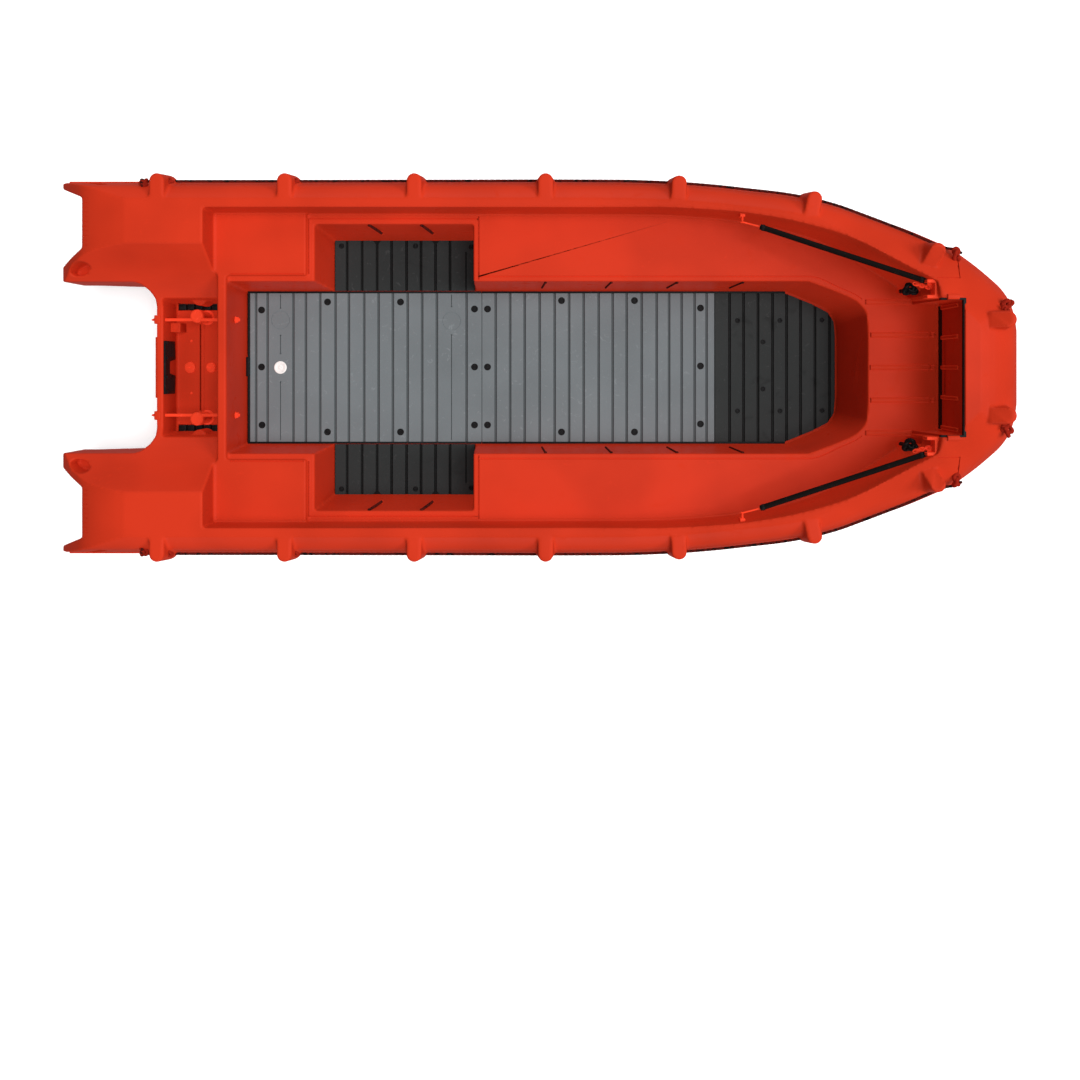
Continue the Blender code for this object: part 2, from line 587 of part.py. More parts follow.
def make_floor():
    """Non-skid panels that lie on the moulded floor."""
    across = (-PANEL_HALF, PANEL_HALF)
    deep = (FLOOR_Z + FIT, PANEL_TOP)
    box("floor_panel_aft", (PANEL_AFT_X, PANEL_MID_X), across, deep, PANEL_LIGHT)
    box("floor_panel_mid", (PANEL_MID_X + PANEL_JOINT, PANEL_BOW_X), across, deep, PANEL_LIGHT)
    bow = [(PANEL_BOW_X + PANEL_JOINT, PANEL_HALF)] + PANEL_BOW
    prism("floor_panel_bow", both_sides(bow), *deep, "z", PANEL_DARK)
    for side, sign in (("port", 1), ("starboard", -1)):
        box("pocket_mat_" + side, MAT_X, (MAT_Y[0] * sign, MAT_Y[1] * sign),
            (deep[0], MAT_TOP), PANEL_DARK)


def make_rods():
    """Tie rods through the bulkheads, each with an eye aft and a nut forward."""
    for side, sign in (("port", 1), ("starboard", -1)):
        y = sign * ROD_Y
        rod = cylinder("tie_rod_" + side, (ROD_AFT, y, ROD_Z), (ROD_FORE, y, ROD_Z), ROD_R,
                       COATED, 12)
        boolean(rod, cylinder("eye_" + side, (EYE_X, y, ROD_Z - EYE_HALF),
                              (EYE_X, y, ROD_Z + EYE_HALF), EYE_R), "UNION")
        boolean(rod, cylinder("nut_" + side, (NUT_X[0], y, ROD_Z), (NUT_X[1], y, ROD_Z), NUT_R,
                              sides=6), "UNION")


def seat_in(obj, name, x, y, z):
    """Cut the seat of a block into a moulding, a running gap wider on each side."""
    tool = box("cut_" + name, (x[0] - FIT, x[1] + FIT), (y[0] - FIT, y[1] + FIT),
               (z[0] - FIT, z[1] + FIT))
    boolean(obj, tool)


def make_well_fittings():
    """Plates, posts, plugs and the outlet block in and around the splash well."""
    plate = box("transom_outer_plate", (TRANSOM_AFT - FIT - OUTER_PLATE_THICK, TRANSOM_AFT - FIT),
                (-OUTER_PLATE_HALF, OUTER_PLATE_HALF), OUTER_PLATE_Z, SHELL)
    bevel(plate, 0.003, 1)
    plate = prism("transom_clamp_plate", CLAMP_PLATE, TRANSOM_FORE + FIT,
                  TRANSOM_FORE + FIT + PLATE_THICK, "x", PANEL_DARK)
    bevel(plate, 0.003, 1)
    floor = WELL_Z + FIT
    for side, sign in (("port", 1), ("starboard", -1)):
        y = sign * POST_Y
        post = cylinder("well_post_" + side, (POST_X, y, floor), (POST_X, y, POST_NECK + 0.005),
                        POST_R, SHELL, 20)
        boolean(post, cylinder("post_head_" + side, (POST_X, y, POST_NECK),
                               (POST_X, y, POST_TOP), POST_HEAD_R, sides=20), "UNION")
    for name, low, mat, (x, radius, height) in (
            ("well_plug_aft", floor, SHELL, PLUG_AFT),
            ("well_plug_fore", floor, SHELL, PLUG_FORE),
            ("floor_drain", PANEL_TOP + FIT, WHITE, DRAIN)):
        cylinder(name, (x, 0.0, low), (x, 0.0, low + height), radius, mat, 20)
    fore, sides, top = OUTLET_BLOCK
    block = box("well_outlet_block", (TRANSOM_FORE + FIT, fore), sides, (floor, top), SHELL)
    bevel(block, 0.006, 2)


def make_lines():
    """Grab lines with an end knot at both ends, and the knots of the bow studs."""
    for side, sign in (("port", 1), ("starboard", -1)):
        path = line_path(*LINE_ENDS, LINE_R + LINE_LIFT, sign)
        outer = line_path(*LINE_ENDS, KNOT_R + LINE_LIFT, sign)
        line = sweep("grab_line_" + side, path, LINE_R, DARK_RUBBER)
        for end, point, towards in (("aft", outer[0], outer[1]), ("fore", outer[-1], outer[-2])):
            away = (point - towards).normalized()
            knot = cylinder(f"knot_{end}_{side}", point - KNOT_NEAR * away,
                            point + KNOT_FAR * away, KNOT_R, sides=10)
            boolean(line, knot, "UNION")


def make_bow_bars():
    """Hose-covered bars across the bow's inner sides, between a foot and a bracket."""
    deck = bpy.data.objects["deck_moulding"]
    for side, sign in (("port", 1), ("starboard", -1)):
        foot, head = ([x, sorted(sign * y for y in across), z]
                      for x, across, z in (BAR_FOOT, BAR_HEAD))
        for name, sizes in (("bar_foot_" + side, foot), ("bar_bracket_" + side, head)):
            seat_in(deck, name, *sizes)
            bevel(box(name, *sizes, SHELL), 0.004, 1)
        start = Vector((foot[0][1], BAR_FOOT_AT[0] * sign, BAR_FOOT_AT[1]))
        end = Vector((head[0][0], BAR_HEAD_AT[0] * sign, BAR_HEAD_AT[1]))
        along = (end - start).normalized()
        lean = BAR_R * math.sqrt(1.0 - along.x ** 2) / along.x + FIT
        sweep("bow_bar_" + side, [start + along * lean, end - along * lean], BAR_R,
              DARK_RUBBER, 12)


def main():
    make_skins()
    make_bottom_fittings()
    make_floor()
    make_rods()
    make_well_fittings()
    make_lines()
    make_bow_bars()


for old in list(bpy.data.objects):
    bpy.data.objects.remove(old, do_unlink=True)
BOAT = collection("inshore_rescue_boat")
CUTTERS = collection("cutters")
SHELL = material("moulded_orange", (0.72, 0.045, 0.018), 0.42)
DARK_RUBBER = material("black_rubber", (0.015, 0.015, 0.016), 0.6)
PANEL_LIGHT = material("grey_panel", (0.17, 0.185, 0.195), 0.55)
PANEL_DARK = material("dark_panel", (0.028, 0.032, 0.031), 0.6)
WHITE = material("white_fitting", (0.75, 0.76, 0.74), 0.4)
COATED = material("coated_rod", (0.80, 0.060, 0.025), 0.35)
PLANING_BOTTOM = skin_hull("planing_bottom", bottom_halves())
main()
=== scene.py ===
"""Dresses the open inshore rescue boat: one moulded shell, ribbed floor panels, ropes, fittings.

Everything is in metres in the boat's own frame: +X to the bow, +Y to port, +Z up, with the
origin on the floor under the keel skid. A profile is a list of (radius, height) to be turned.
Names with px and py hold columns and rows of the photograph's view from above.
"""

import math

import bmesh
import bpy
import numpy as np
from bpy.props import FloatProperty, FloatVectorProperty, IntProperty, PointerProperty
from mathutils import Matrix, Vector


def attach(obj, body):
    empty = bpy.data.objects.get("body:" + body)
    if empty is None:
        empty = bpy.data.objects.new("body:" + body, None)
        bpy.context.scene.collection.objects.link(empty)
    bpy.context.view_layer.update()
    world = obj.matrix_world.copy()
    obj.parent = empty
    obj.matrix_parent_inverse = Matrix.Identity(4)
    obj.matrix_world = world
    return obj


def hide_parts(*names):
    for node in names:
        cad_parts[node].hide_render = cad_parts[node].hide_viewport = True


bl_info = {
    "name": "Inshore rescue boat",
    "version": (1, 0, 0),
    "blender": (4, 5, 0),
    "location": "3D View > Sidebar > Boat",
    "description": "Builds the visible pieces of an open moulded rescue boat, one by one",
    "category": "Add Mesh",
}

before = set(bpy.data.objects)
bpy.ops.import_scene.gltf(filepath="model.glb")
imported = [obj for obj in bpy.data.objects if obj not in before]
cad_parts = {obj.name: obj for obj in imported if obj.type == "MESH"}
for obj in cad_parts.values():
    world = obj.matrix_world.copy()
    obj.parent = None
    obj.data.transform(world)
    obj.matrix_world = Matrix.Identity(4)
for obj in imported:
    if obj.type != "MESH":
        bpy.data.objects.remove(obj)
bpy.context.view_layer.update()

# Camera over the photograph's view from above
PHOTO_PX, FOCAL_PX = 1080.0, 1168.7
CENTRE_PX, CENTRE_PY = 540.5, 367.5
CAMERA_X, CAMERA_Z = 0.053, 7.0

# Driving sizes of the hull
STERN_X, TAIL_X = -2.53, -2.524
BEAM_HALF = 1.0
KEEL_Z = 0.030
BENCH_Z, AFT_BENCH_Z = 0.735, 0.765
FLOOR_Z = 0.270
PANEL_TOP, MAT_TOP = 0.300, 0.292
WELL_Z = 0.380
TRANSOM_TOP, TRANSOM_AFT, TRANSOM_FORE = 0.617, -2.041, -2.005
WELL_FORE, WELL_LIP = -1.713, -1.672
TROUGH_AFT, BENCH_AFT = -1.630, -1.690
TAIL_SPLIT = (0.600, 0.620)
FIT = 0.0003                                    # air between a fitting and the shell
FAR_AFT, FAR_SIDE, UNDER, OVER = -2.70, 1.20, -0.20, 1.45
SIDES = (("port", 1), ("starboard", -1))

# Half outline of the hull at the rub strake, stern to bow (x, y)
OUTLINE = [(STERN_X, 1.000), (-2.000, 1.000), (-0.600, 1.000), (0.000, 1.000), (0.450, 0.997),
           (0.750, 0.985), (0.950, 0.968), (1.150, 0.943), (1.300, 0.923), (1.450, 0.896),
           (1.600, 0.858), (1.720, 0.816), (1.840, 0.772), (1.960, 0.725), (2.080, 0.671),
           (2.207, 0.606), (2.260, 0.566), (2.320, 0.515), (2.382, 0.456), (2.436, 0.400),
           (2.477, 0.335), (2.500, 0.265), (2.5112, 0.190)]

# Profiles seen from the side: height over x
SHEER = [(STERN_X, 0.963), (0.200, 0.963), (0.550, 0.975), (0.850, 0.998), (1.150, 1.030),
         (1.450, 1.070), (1.750, 1.118), (2.000, 1.168), (2.200, 1.214), (2.600, 1.217)]
STRAKE = [(STERN_X, 0.620), (-1.500, 0.622), (-0.770, 0.635), (-0.240, 0.646),
          (0.290, 0.667), (0.710, 0.688), (0.930, 0.699), (1.350, 0.741),
          (1.770, 0.788), (2.200, 0.857), (2.500, 0.922), (2.600, 0.922)]
BELLY = [(STERN_X, 0.430), (-2.355, 0.455), (-2.200, 0.482), (-2.040, 0.495),
         (-1.510, 0.508), (0.290, 0.519), (1.770, 0.527), (2.090, 0.561),
         (2.300, 0.580), (2.600, 0.580)]
KEEL = [(STERN_X, KEEL_Z), (1.150, KEEL_Z), (1.280, 0.048), (1.400, 0.063), (1.560, 0.090),
        (1.660, 0.111), (1.770, 0.150), (1.850, 0.185), (1.980, 0.275), (2.100, 0.381),
        (2.160, 0.450), (2.236, 0.570)]
CHINE = [(STERN_X, 0.116), (-1.830, 0.116), (-0.980, 0.130), (-0.340, 0.148), (0.290, 0.180),
         (0.710, 0.206), (1.270, 0.275), (1.560, 0.370), (1.770, 0.445), (1.980, 0.529),
         (2.236, 0.600)]
CHINE_HALF = [(STERN_X, 0.800), (0.000, 0.800), (0.500, 0.785), (0.900, 0.750),
              (1.270, 0.700), (1.560, 0.650), (1.770, 0.575), (1.980, 0.460),
              (2.100, 0.370), (2.236, 0.230)]

# Knuckles of the bottom: shares of the rise from keel to chine, at two x
INNER_RISE = [(-0.340, 0.04), (1.270, 0.16)]
OUTER_RISE = [(0.900, 0.80), (1.700, 0.42)]

# Roundness of the gunwale and belly: share of the height, inset amidships, inset at the bow
GUNWALE_ROUND = [(0.00, 0.000, 0.000), (0.28, 0.008, 0.013), (0.45, 0.018, 0.039),
                 (0.60, 0.030, 0.071), (0.78, 0.050, 0.136), (0.90, 0.080, 0.200),
                 (1.00, 0.125, 0.275)]
BELLY_ROUND = [(0.00, 0.000, 0.000), (0.34, 0.004, 0.013), (0.53, 0.015, 0.046),
               (0.75, 0.045, 0.104), (0.86, 0.070, 0.155), (1.00, 0.110, 0.240)]
BOW_FROM, BOW_TO = 1.30, 2.30

# Cockpit outlines (x, y), port half, stern to bow
RECESS_FOOT = [(-1.195, 0.826), (0.600, 0.822), (1.000, 0.800), (1.300, 0.752),
               (1.500, 0.697), (1.650, 0.630), (1.766, 0.560), (1.873, 0.496),
               (1.980, 0.426), (2.020, 0.395)]
RECESS_TOP = [(-1.195, 0.840), (0.600, 0.838), (1.000, 0.813), (1.250, 0.776),
              (1.450, 0.724), (1.600, 0.678), (1.700, 0.636), (1.800, 0.582),
              (1.900, 0.524), (2.036, 0.449)]
NICHE_FOOT = [(2.040, 0.352), (2.192, 0.350)]
NICHE_TOP = [(2.046, 0.342), (2.140, 0.340)]
TROUGH_FOOT = [(1.466, 0.440), (1.628, 0.372), (1.722, 0.322), (1.752, 0.250), (1.760, 0.160)]
TROUGH_TOP = [(1.492, 0.462), (1.651, 0.402), (1.755, 0.351), (1.805, 0.280), (1.812, 0.180)]
TROUGH_FOOT_AFT, TROUGH_TOP_AFT = (TROUGH_AFT, 0.440), (-1.622, 0.462)
POCKET_FOOT, POCKET_TOP = (-1.128, -0.317, 0.731), (-1.156, -0.3035, 0.769)
POCKET_INNER = 0.40
BENCH_CUT = BENCH_Z + 0.002
WELL_FOOT, WELL_MOUTH, WELL_HIGH = 0.365, 0.383, 0.80
AFT_SIDE_FOOT, AFT_SIDE_TOP, AFT_FORE = 0.826, 0.840, -1.17
LIP_HALF, LIP_FORE = 0.492, -1.18

# Stern outlines
GAP_PLAN = [(FAR_AFT, 0.461), (-2.134, 0.461), (-2.100, 0.450), (-2.062, 0.414),
            (TRANSOM_AFT, 0.372)]
NOTCH_PLAN = [(FAR_AFT, 0.985), (TAIL_X, 0.962), (-2.350, 0.893), (-2.350, 0.628),
              (-2.530, 0.540), (FAR_AFT, 0.460)]
STERN_ROUND = [(TAIL_X, 0.688), (-2.472, 0.752), (-2.408, 0.822), (-2.345, 0.877),
               (-2.280, 0.911), (-2.218, 0.934), (-2.154, 0.952), (-2.090, 0.964)]
STERN_RAKE = [(TAIL_X, 0.397), (-2.435, 0.397), (-2.133, 0.243), (-2.117, 0.100),
              (-1.875, 0.095), (-1.855, KEEL_Z)]
WELL_SLOPE = [(0.645, 0.964), (0.490, 0.742), (0.390, 0.650), (0.330, TRANSOM_TOP)]

# Studs, holes and grab lines
STUD_X = [-1.932, -1.272, -0.596, 0.082, 0.777, 1.452, 2.075]
STUD_TOP_R, STUD_FOOT_R, STUD_DROP = 0.038, 0.058, 0.205
STUD_OUT, STUD_LENGTH, STUD_TOP_SHARE, STUD_FALL = 0.025, 0.150, 0.55, 0.040
BOW_STUD = ((2.368, 0.238), 1.244, 0.150)       # place, top and depth
HAND_HOLE = ((-2.396, 0.525), (0.122, 0.062), 0.30)
HAND_HOLE_Z = 0.660
HANDLE_SLOT = ((-2.385, 0.731), (-2.252, 0.842), 0.026, 0.055)
LINE_R, LINE_LIFT, LINE_SHARE = 0.0075, 0.004, 0.52
LINE_ENDS = (-2.038, 2.138)
LINE_AFT = [(-2.018, 0.945, 0.915), (-2.034, 0.972, 0.882), (-2.045, 0.990, 0.838)]
LINE_BOW = [(2.170, 0.602, 1.035), (2.185, 0.580, 1.085)]

# Knots of the grab lines on the port side: place, direction, outward side and size
KNOTS = (((-2.020, 0.964, 0.885), (0.0, 1.0, -0.9), (-0.3, 0.5, 0.8), 0.022),
         ((-1.884, 0.975, 0.895), (1.0, 0.1, -0.5), (0.1, 0.7, 0.7), 0.017),
         ((-1.224, 0.975, 0.895), (1.0, 0.1, -0.5), (0.1, 0.7, 0.7), 0.015),
         ((2.160, 0.572, 1.085), (-0.2, 0.8, 0.1), (0.6, 0.5, 0.6), 0.027),
         ((2.398, 0.314, 1.130), (0.5, 0.7, 0.0), (0.5, 0.3, 0.8), 0.027),
         ((2.378, 0.288, 1.165), (0.2, -0.9, 0.3), (0.3, 0.5, 0.8), 0.017))
ROPE_SHARE = 0.40                               # rope's radius over a knot's size

# Relief of the bow seat and its bulkhead
SEAT_RIB_Y = (-0.351, -0.175, 0.0, 0.175, 0.351)
SEAT_RIB = (1.792, 2.132, 0.028, 0.012)         # aft end, fore end, width and height
RIB_SPREAD = 0.02                               # an outer rib's later start over its y
BACK_RIB = ((2.05, BENCH_Z + 0.06, 1.10), (0.020, 0.009))
BACK_SHARE = 0.9                                # spacing of the bulkhead's ribs over the seat's
SEAT_KNOB, BACK_KNOB = (0.022, 0.013, 0.0145), (2.183, 0.85, 0.012)
SEAT_PIT = [(1.955, 0.402), (2.040, 0.368), (2.046, 0.402), (1.975, 0.446)]
SEAT_PIT_Z = (0.66, 0.94)
SEAT_SLOT = ((2.180, 2.240), (-0.332, 0.332), (BENCH_Z + 0.001, 0.795))

# Lines round the seat pads and seams, with the width and depth of each kind
LIP_WIDTH = 0.026                               # flat rim round the trough and the pockets
PAD_AFT_X, PAD_FORE_X, PAD_LINE = -1.187, -0.276, (0.008, 0.008)
POCKET_LINE_Y = POCKET_TOP[2] + 0.028
PAD_RUNS = [[(PAD_FORE_X, 0.470), (PAD_FORE_X, 0.812)], [(PAD_AFT_X, 0.500), (PAD_AFT_X, 0.800)],
            [(POCKET_TOP[0] - LIP_WIDTH, POCKET_LINE_Y),
             (POCKET_TOP[1] + LIP_WIDTH, POCKET_LINE_Y)],
            [(-1.60, 0.500), (PAD_AFT_X - 0.02, 0.500)]]
SEAM, SEAM_LINE = [(2.030, 0.448), (2.154, 0.448), (2.160, 0.515)], (0.0050, 0.009)
SEAM_SIDE = (((2.160, 0.720, 1.36), (2.1735, 0.800, 1.30), (0, -0.7, -0.7)),
             ((2.172, 0.900, 1.06), (2.234, 0.900, 0.62), (0, -1, 0)))
HORN_TICKS = [0.640 + 0.0245 * k for k in range(11)]
HORN_TICK_X, HORN_LINE = (-2.346, -2.333, -2.320, -2.309), (0.0055, 0.005)

# Relief of the splash well
BOSS = (-1.826, 0.386, 0.044, 0.560)            # x, y, radius and top of the well's wall bosses
WELL_SLOT = ((-1.8745, -1.8655), (-0.245, 0.245), (WELL_Z - 0.03, WELL_Z + 0.05))
WELL_STEP, WELL_STEP_LINE = [(-1.848, -0.25), (-1.848, 0.25)], (0.006, 0.0035)
WELL_PIT = ((-1.995, -1.765), (0.322, 0.364), (0.300, 0.405))
CLIP_PIT = ((-1.645, -1.600), (-0.045, 0.075), (0.250, 0.290))

# Floor panels: columns of the grooves, places of the screws, slits and discs
GROOVES_AFT = (256.4, 267.9, 293.7, 306.2, 320.5, 335.8, 349.2, 364.5, 378.9, 393.2, 408.0,
               422.5, 437.2, 466.9)
GROOVES_MID = (496.0, 510.5, 525.0, 540.0, 555.0, 569.5, 584.0, 599.0, 613.0, 627.0, 642.0,
               657.0, 669.5, 682.0, 695.0, 707.0)
GROOVES_BOW = (730.0, 744.0, 758.5, 773.0, 787.0, 801.0, 815.5, 830.0)
GROOVES_MAT = (347.5, 362.5, 377.5, 392.0, 407.0, 421.5, 436.0, 450.5)
SCREWS_AFT = ((262, 310), (262, 367), (262.5, 425), (328, 302), (328, 432), (401, 302),
              (401, 432), (475, 309), (475, 367), (475, 425))
SCREWS_MID = ((488, 309), (488, 367), (488, 425), (562, 300.6), (562, 432), (635, 300.6),
              (635, 432), (701, 308), (701, 366), (701, 424))
SCREWS_BOW = ((738, 320.5), (780.5, 320.5), (822.6, 320), (763.5, 342), (763.5, 389),
              (738, 411), (780.5, 411), (822.6, 410.5))
SCREWS_MAT = ((342, 489), (416, 489), (472, 488))
SCREW_R, BOW_SCREW_R, MAT_SCREW_R, SCREW_AIR = 0.0200, 0.0145, 0.0155, 0.0007
SCREW_CAP = [(0, -0.0055), (1.0, -0.0055), (1.0, -0.0012), (0.93, 0.0), (0.74, 0.0),
             (0.62, -0.0022), (0.5, -0.0022), (0.42, -0.0008), (0.30, -0.0008), (0.27, -0.004),
             (0, -0.004)]                       # (share of the radius, height)
SLITS = ((281, (294.5, 308.0)), (281, (335.5, 353.5)), (281, (382.0, 440.0)),
         (452, (294.5, 306.5)), (452, (335.0, 440.0)))
SLIT_HALF, SLIT_END_R, SLIT_END_Y = 0.0024, 0.0048, 0.40
DISCS, DISC_R = ((281, 320), (452, 321)), (0.0500, 0.0530)
PANEL_HALF, TREAD_HALF = 0.4375, 0.425
TREAD = (-TREAD_HALF, TREAD_HALF)
PANEL_AFT_X, PANEL_MID_X, PANEL_BOW_X, PANEL_END_X = -1.624, -0.2815, 1.0525, 1.744
PANEL_GAP, PLANK_EDGE = 0.001, 0.003
PANEL_BOW = [(PANEL_BOW_X + PANEL_GAP, TREAD_HALF), (1.459, TREAD_HALF), (1.614, 0.362),
             (1.706, 0.313), (1.736, 0.262), (PANEL_END_X, 0.180)]
MAT_X, MAT_Y = (-1.1245, -0.3205), (0.4405, 0.7285)
MAT_NOTCH_PX, MAT_NOTCH = (377.5, 436.0), ((-0.030, 0.735), (0.0, 0.700), (0.030, 0.735))
MAT_SLIT_PX, MAT_SLIT_HALF, MAT_SLIT_Y = 466.5, 0.0045, (0.42, 0.665)
SEAL_TOP, SEAL_AFT, SEAL_END_X = 0.294, 0.0135, 1.459
CLIP = ((PANEL_AFT_X - 0.0045, PANEL_AFT_X + 0.016), (-0.050, 0.060), (0.300, 0.318))
ABOVE = 0.32                                    # over every panel
DRAIN_X, DRAIN_R = -1.435, 0.036
DRAIN = [(0, 0.0), (1.0, 0.0), (1.0, 0.0022), (0.95, 0.00378), (0.86, 0.0042), (0.74, 0.0042),
         (0.66, 0.0026), (0.34, 0.0026), (0.30, 0.003612), (0, 0.00378)]
DRAIN_SLOT = ((DRAIN_X - 0.008, DRAIN_X + 0.008), (-0.0016, 0.0016), (0.303, 0.31))

# Strake, skid and towing bracket
BELT_AFT = -2.505
BELT = [(-0.026, -0.035), (-0.026, 0.006), (-0.0245, 0.0095), (-0.021, 0.0115), (-0.010, 0.0125),
        (-0.006, 0.0112)]                       # (height, way out), lower half
SKID, SKID_HALF = [(-1.868, 0.0297), (-1.842, 0.0), (1.127, 0.0), (1.165, 0.0297)], 0.100
SKID_SCREW = [(0, -0.004), (0.0125, -0.004), (0.0075, 0.006), (0, 0.006)]
SKID_SCREW_X, SKID_SCREW_Y = np.linspace(-1.75, 1.05, 15), (-0.062, 0.062)
STEM_PROFILE = [(2.048, 0.376), (2.239, 0.397), (2.239, 0.560), (2.100, 0.560)]
STEM_SEAT = [(2.0477, 0.360), (2.30, 0.360), (2.30, 0.5603), (2.0997, 0.5603)]
STEM_HALF, STEM_EYE = 0.060, (2.202, 0.4446, 0.014)
STEM_SLOT_X, STEM_SLOT_Z = (2.225, 2.26), (0.48, 0.535)
STEM_SLOT_Y = ((-0.050, -0.010), (0.010, 0.050))
SLEEVE = [(0.0105, -0.066), (0.0105, 0.066), (0.0137, 0.066), (0.019, 0.0655), (0.019, 0.0605),
          (0.0137, 0.0605), (0.0137, -0.0605), (0.019, -0.0605), (0.019, -0.0655),
          (0.0137, -0.066), (0.0105, -0.066)]
# Black rubber strips in the seat's slot at the bulkhead foot and round the niche's top edge:
# painted shade for the shadow lines there, shaped as a seal
SHADE_SEAL_FOOT = ((2.187, 2.199), (-0.328, 0.328), (BENCH_Z + 0.0005, 0.792))
SHADE_SEAL_RIM = [(2.040, 0.336), (2.1535, 0.336), (2.1535, 0.0), (2.168, 0.0), (2.168, 0.346),
            (2.040, 0.346)]
SHADE_SEAL_RIM_Z = (1.180, 1.204)

# Splash well fittings
ROD_Y, ROD_Z, ROD_R, ROD_X = 0.262, 0.575, 0.0085, (-2.059, -1.596)
ROD_PAD_X, ROD_PAD_HALF = (TRANSOM_AFT - 0.013, TRANSOM_FORE - 0.012), 0.024
ROD_PAD_Z = (ROD_Z - 0.030, TRANSOM_TOP + 0.006)
ROD_TIP = [(0, -0.012), (0.0165, -0.012), (0.0165, -0.0085), (0.0125, -0.0085), (0.0125, 0.0),
           (0.0085, 0.001), (0.0080, 0.009), (0.0035, 0.022), (0, 0.023)]
THREAD = [(0, -0.0014), (ROD_R, -0.0014), (ROD_R + 0.0009, 0.0), (ROD_R, 0.0014), (0, 0.0014)]
THREAD_X, THREAD_PITCH, THREAD_TURNS = -1.628, 0.0032, 9
NUT_X, NUT_R = (-1.6195, -1.606), 0.016
WASHER = [(0, -0.0012), (0.020, -0.0012), (0.021, 0), (0.020, 0.0012), (0, 0.0012)]
WASHER_X = -1.6208
POST_X, POST_Y, POST_R, POST_HEAD_R, POST_TOP = -1.832, 0.282, 0.031, 0.037, 0.5880
POST = [(0, 0.0), (1.35, 0.0), (1.35, 0.006), (1.05, 0.012), (1.0, 0.030), (1.0, 0.128),
        (0.96, 0.138)]                          # (share of the radius, height)
POST_HEAD = [(0.97, 0.142), (1.0, 0.147), (1.0, 0.196), (0.94, 0.203), (0.78, 0.2070)]
PLUGS = (("well_plug_aft", -1.927, 0.031, 0.014), ("well_plug_fore", -1.808, 0.028, 0.020))
PLUG = [(0, 0.0), (1.0, 0.0), (1.0, 0.55), (0.96, 0.8), (0.86, 0.95), (0.7, 1.0), (0, 1.0)]
PLUG_SLOT = (0.018, 0.0028, 0.003)              # half length, half width and depth
FLAPS, FLAP_GAP = 5, 0.004
OUTLET_BLOCK = ((-2.0047, -1.948), (0.196, 0.250), (0.3803, 0.500))
OUTLET_HOLE = (-1.97235, 0.223, 0.017)          # x, y and radius
OUTER_PLATE = ((-2.0513, -2.0413), (-0.166, 0.166), (0.360, 0.606))
CLAMP_PLATE = [(-0.146, 0.612), (-0.146, 0.440), (-0.046, 0.430), (-0.032, 0.530),
               (0.032, 0.530), (0.046, 0.430), (0.146, 0.440), (0.146, 0.612)]
CLAMP_FACE = TRANSOM_FORE + 0.0103
CLAMP_GROOVE = (0.095, 0.036, 0.003, 0.0018)    # y, half length, half width and depth
CLAMP_GROOVE_Z = np.arange(0.462, 0.60, 0.020)
CLAMP_BOLT_Y, CLAMP_BOLT_Z = (-0.135, -0.052, 0.052, 0.135), 0.590
PLATE_BOLT_Y, PLATE_BOLT_Z = (-0.140, -0.050, 0.050, 0.140), (0.400, 0.570)
PLATE_BOLT, FLOOR_BOLT = (0.0065, 0.007), (0.0045, 0.004)
FLOOR_BOLTS = ((192, 341), (192, 393))

# Bow bars
BAR_ENDS, BAR_R = ((1.190, 0.728, 0.958), (2.004, 0.431, 1.122)), 0.0145
HOSE_END = [(0, 0), (0.55, 0), (0.55, 0.0015), (0.93, 0.0015), (1.0, 0.004)]
HOSE_RIBS, HOSE_RIB_DEPTH = 60, 0.012
HOSE_CLIP = [(0.9, -0.007), (1.10, -0.007), (1.14, -0.005), (1.14, 0.005), (1.10, 0.007),
             (0.9, 0.007), (0.9, -0.007)]
HOSE_CLIPS = (0.02, 0.965)                      # shares of the bar's length
HOOK_EYE, HOOK_EYE_R, HOOK_R = (1.098, 0.768, 0.958), 0.014, 0.0042
HEAD_PLATE, HEAD_THICK = ((1.984, 2.043), (0.346, 0.440), (1.100, 1.172)), 0.016
PIN_R, PIN_BACK = 0.0080, 0.010
CHAIN_ENDS, CHAIN_LINKS, CHAIN_SAG = ((1.948, 0.425, 1.085), (2.034, 0.398, 1.112)), 6, 0.010
LINK_LONG, LINK_WIDE, LINK_WIRE_R = 0.0145, 0.0085, 0.0034
STRAP_TOP, STRAP_LENGTH, STRAP_R = (1.985, 0.408, 0.900), 0.16, 0.011
STRAP_KNOT, STRAP_ROPE_R = 0.028, 0.0135

# Lashing toggles
TOGGLE_PX, TOGGLE_LEAN, TOGGLE_R = (369.4, 421.9), 0.044, 0.0075
TOGGLE_TOP, TOGGLE_LOW = (0.7655, 0.722), (0.7405, 0.545)
TROUGH_HOOKS = ((546, 542.5), (612, 606), (678, 667.5), (744, 730))
HOOK_TOP, HOOK_LOW, TROUGH_HOOK_R = (0.4585, 0.712), (0.4465, 0.455), 0.0052
KNOB = [(0.0, -1.2), (0.75, -1.2), (0.8, -0.1), (1.0, 0.1), (0.96, 0.4), (0.8, 0.66),
        (0.5, 0.85), (0.0, 0.92)]               # in radii
KNOB_R, HOOK_KNOB_R, KNOB_SINK = 0.0095, 0.0085, 0.004

# Soft lamps: name, way that the light goes, strength and whether it casts shadows
LAMPS = (("key", (-0.28, 0.0, -1.0), 1.75, True), ("fill_bow", (-0.80, 0.0, -0.70), 1.7, True),
         ("fill_port", (0.0, -0.94, -0.34), 1.45, False),
         ("fill_starboard", (0.0, 0.94, -0.34), 1.45, False))
LAMP_ANGLE, WORLD_LIGHT, STAGE_HALF = 25.0, 0.24, 30.0


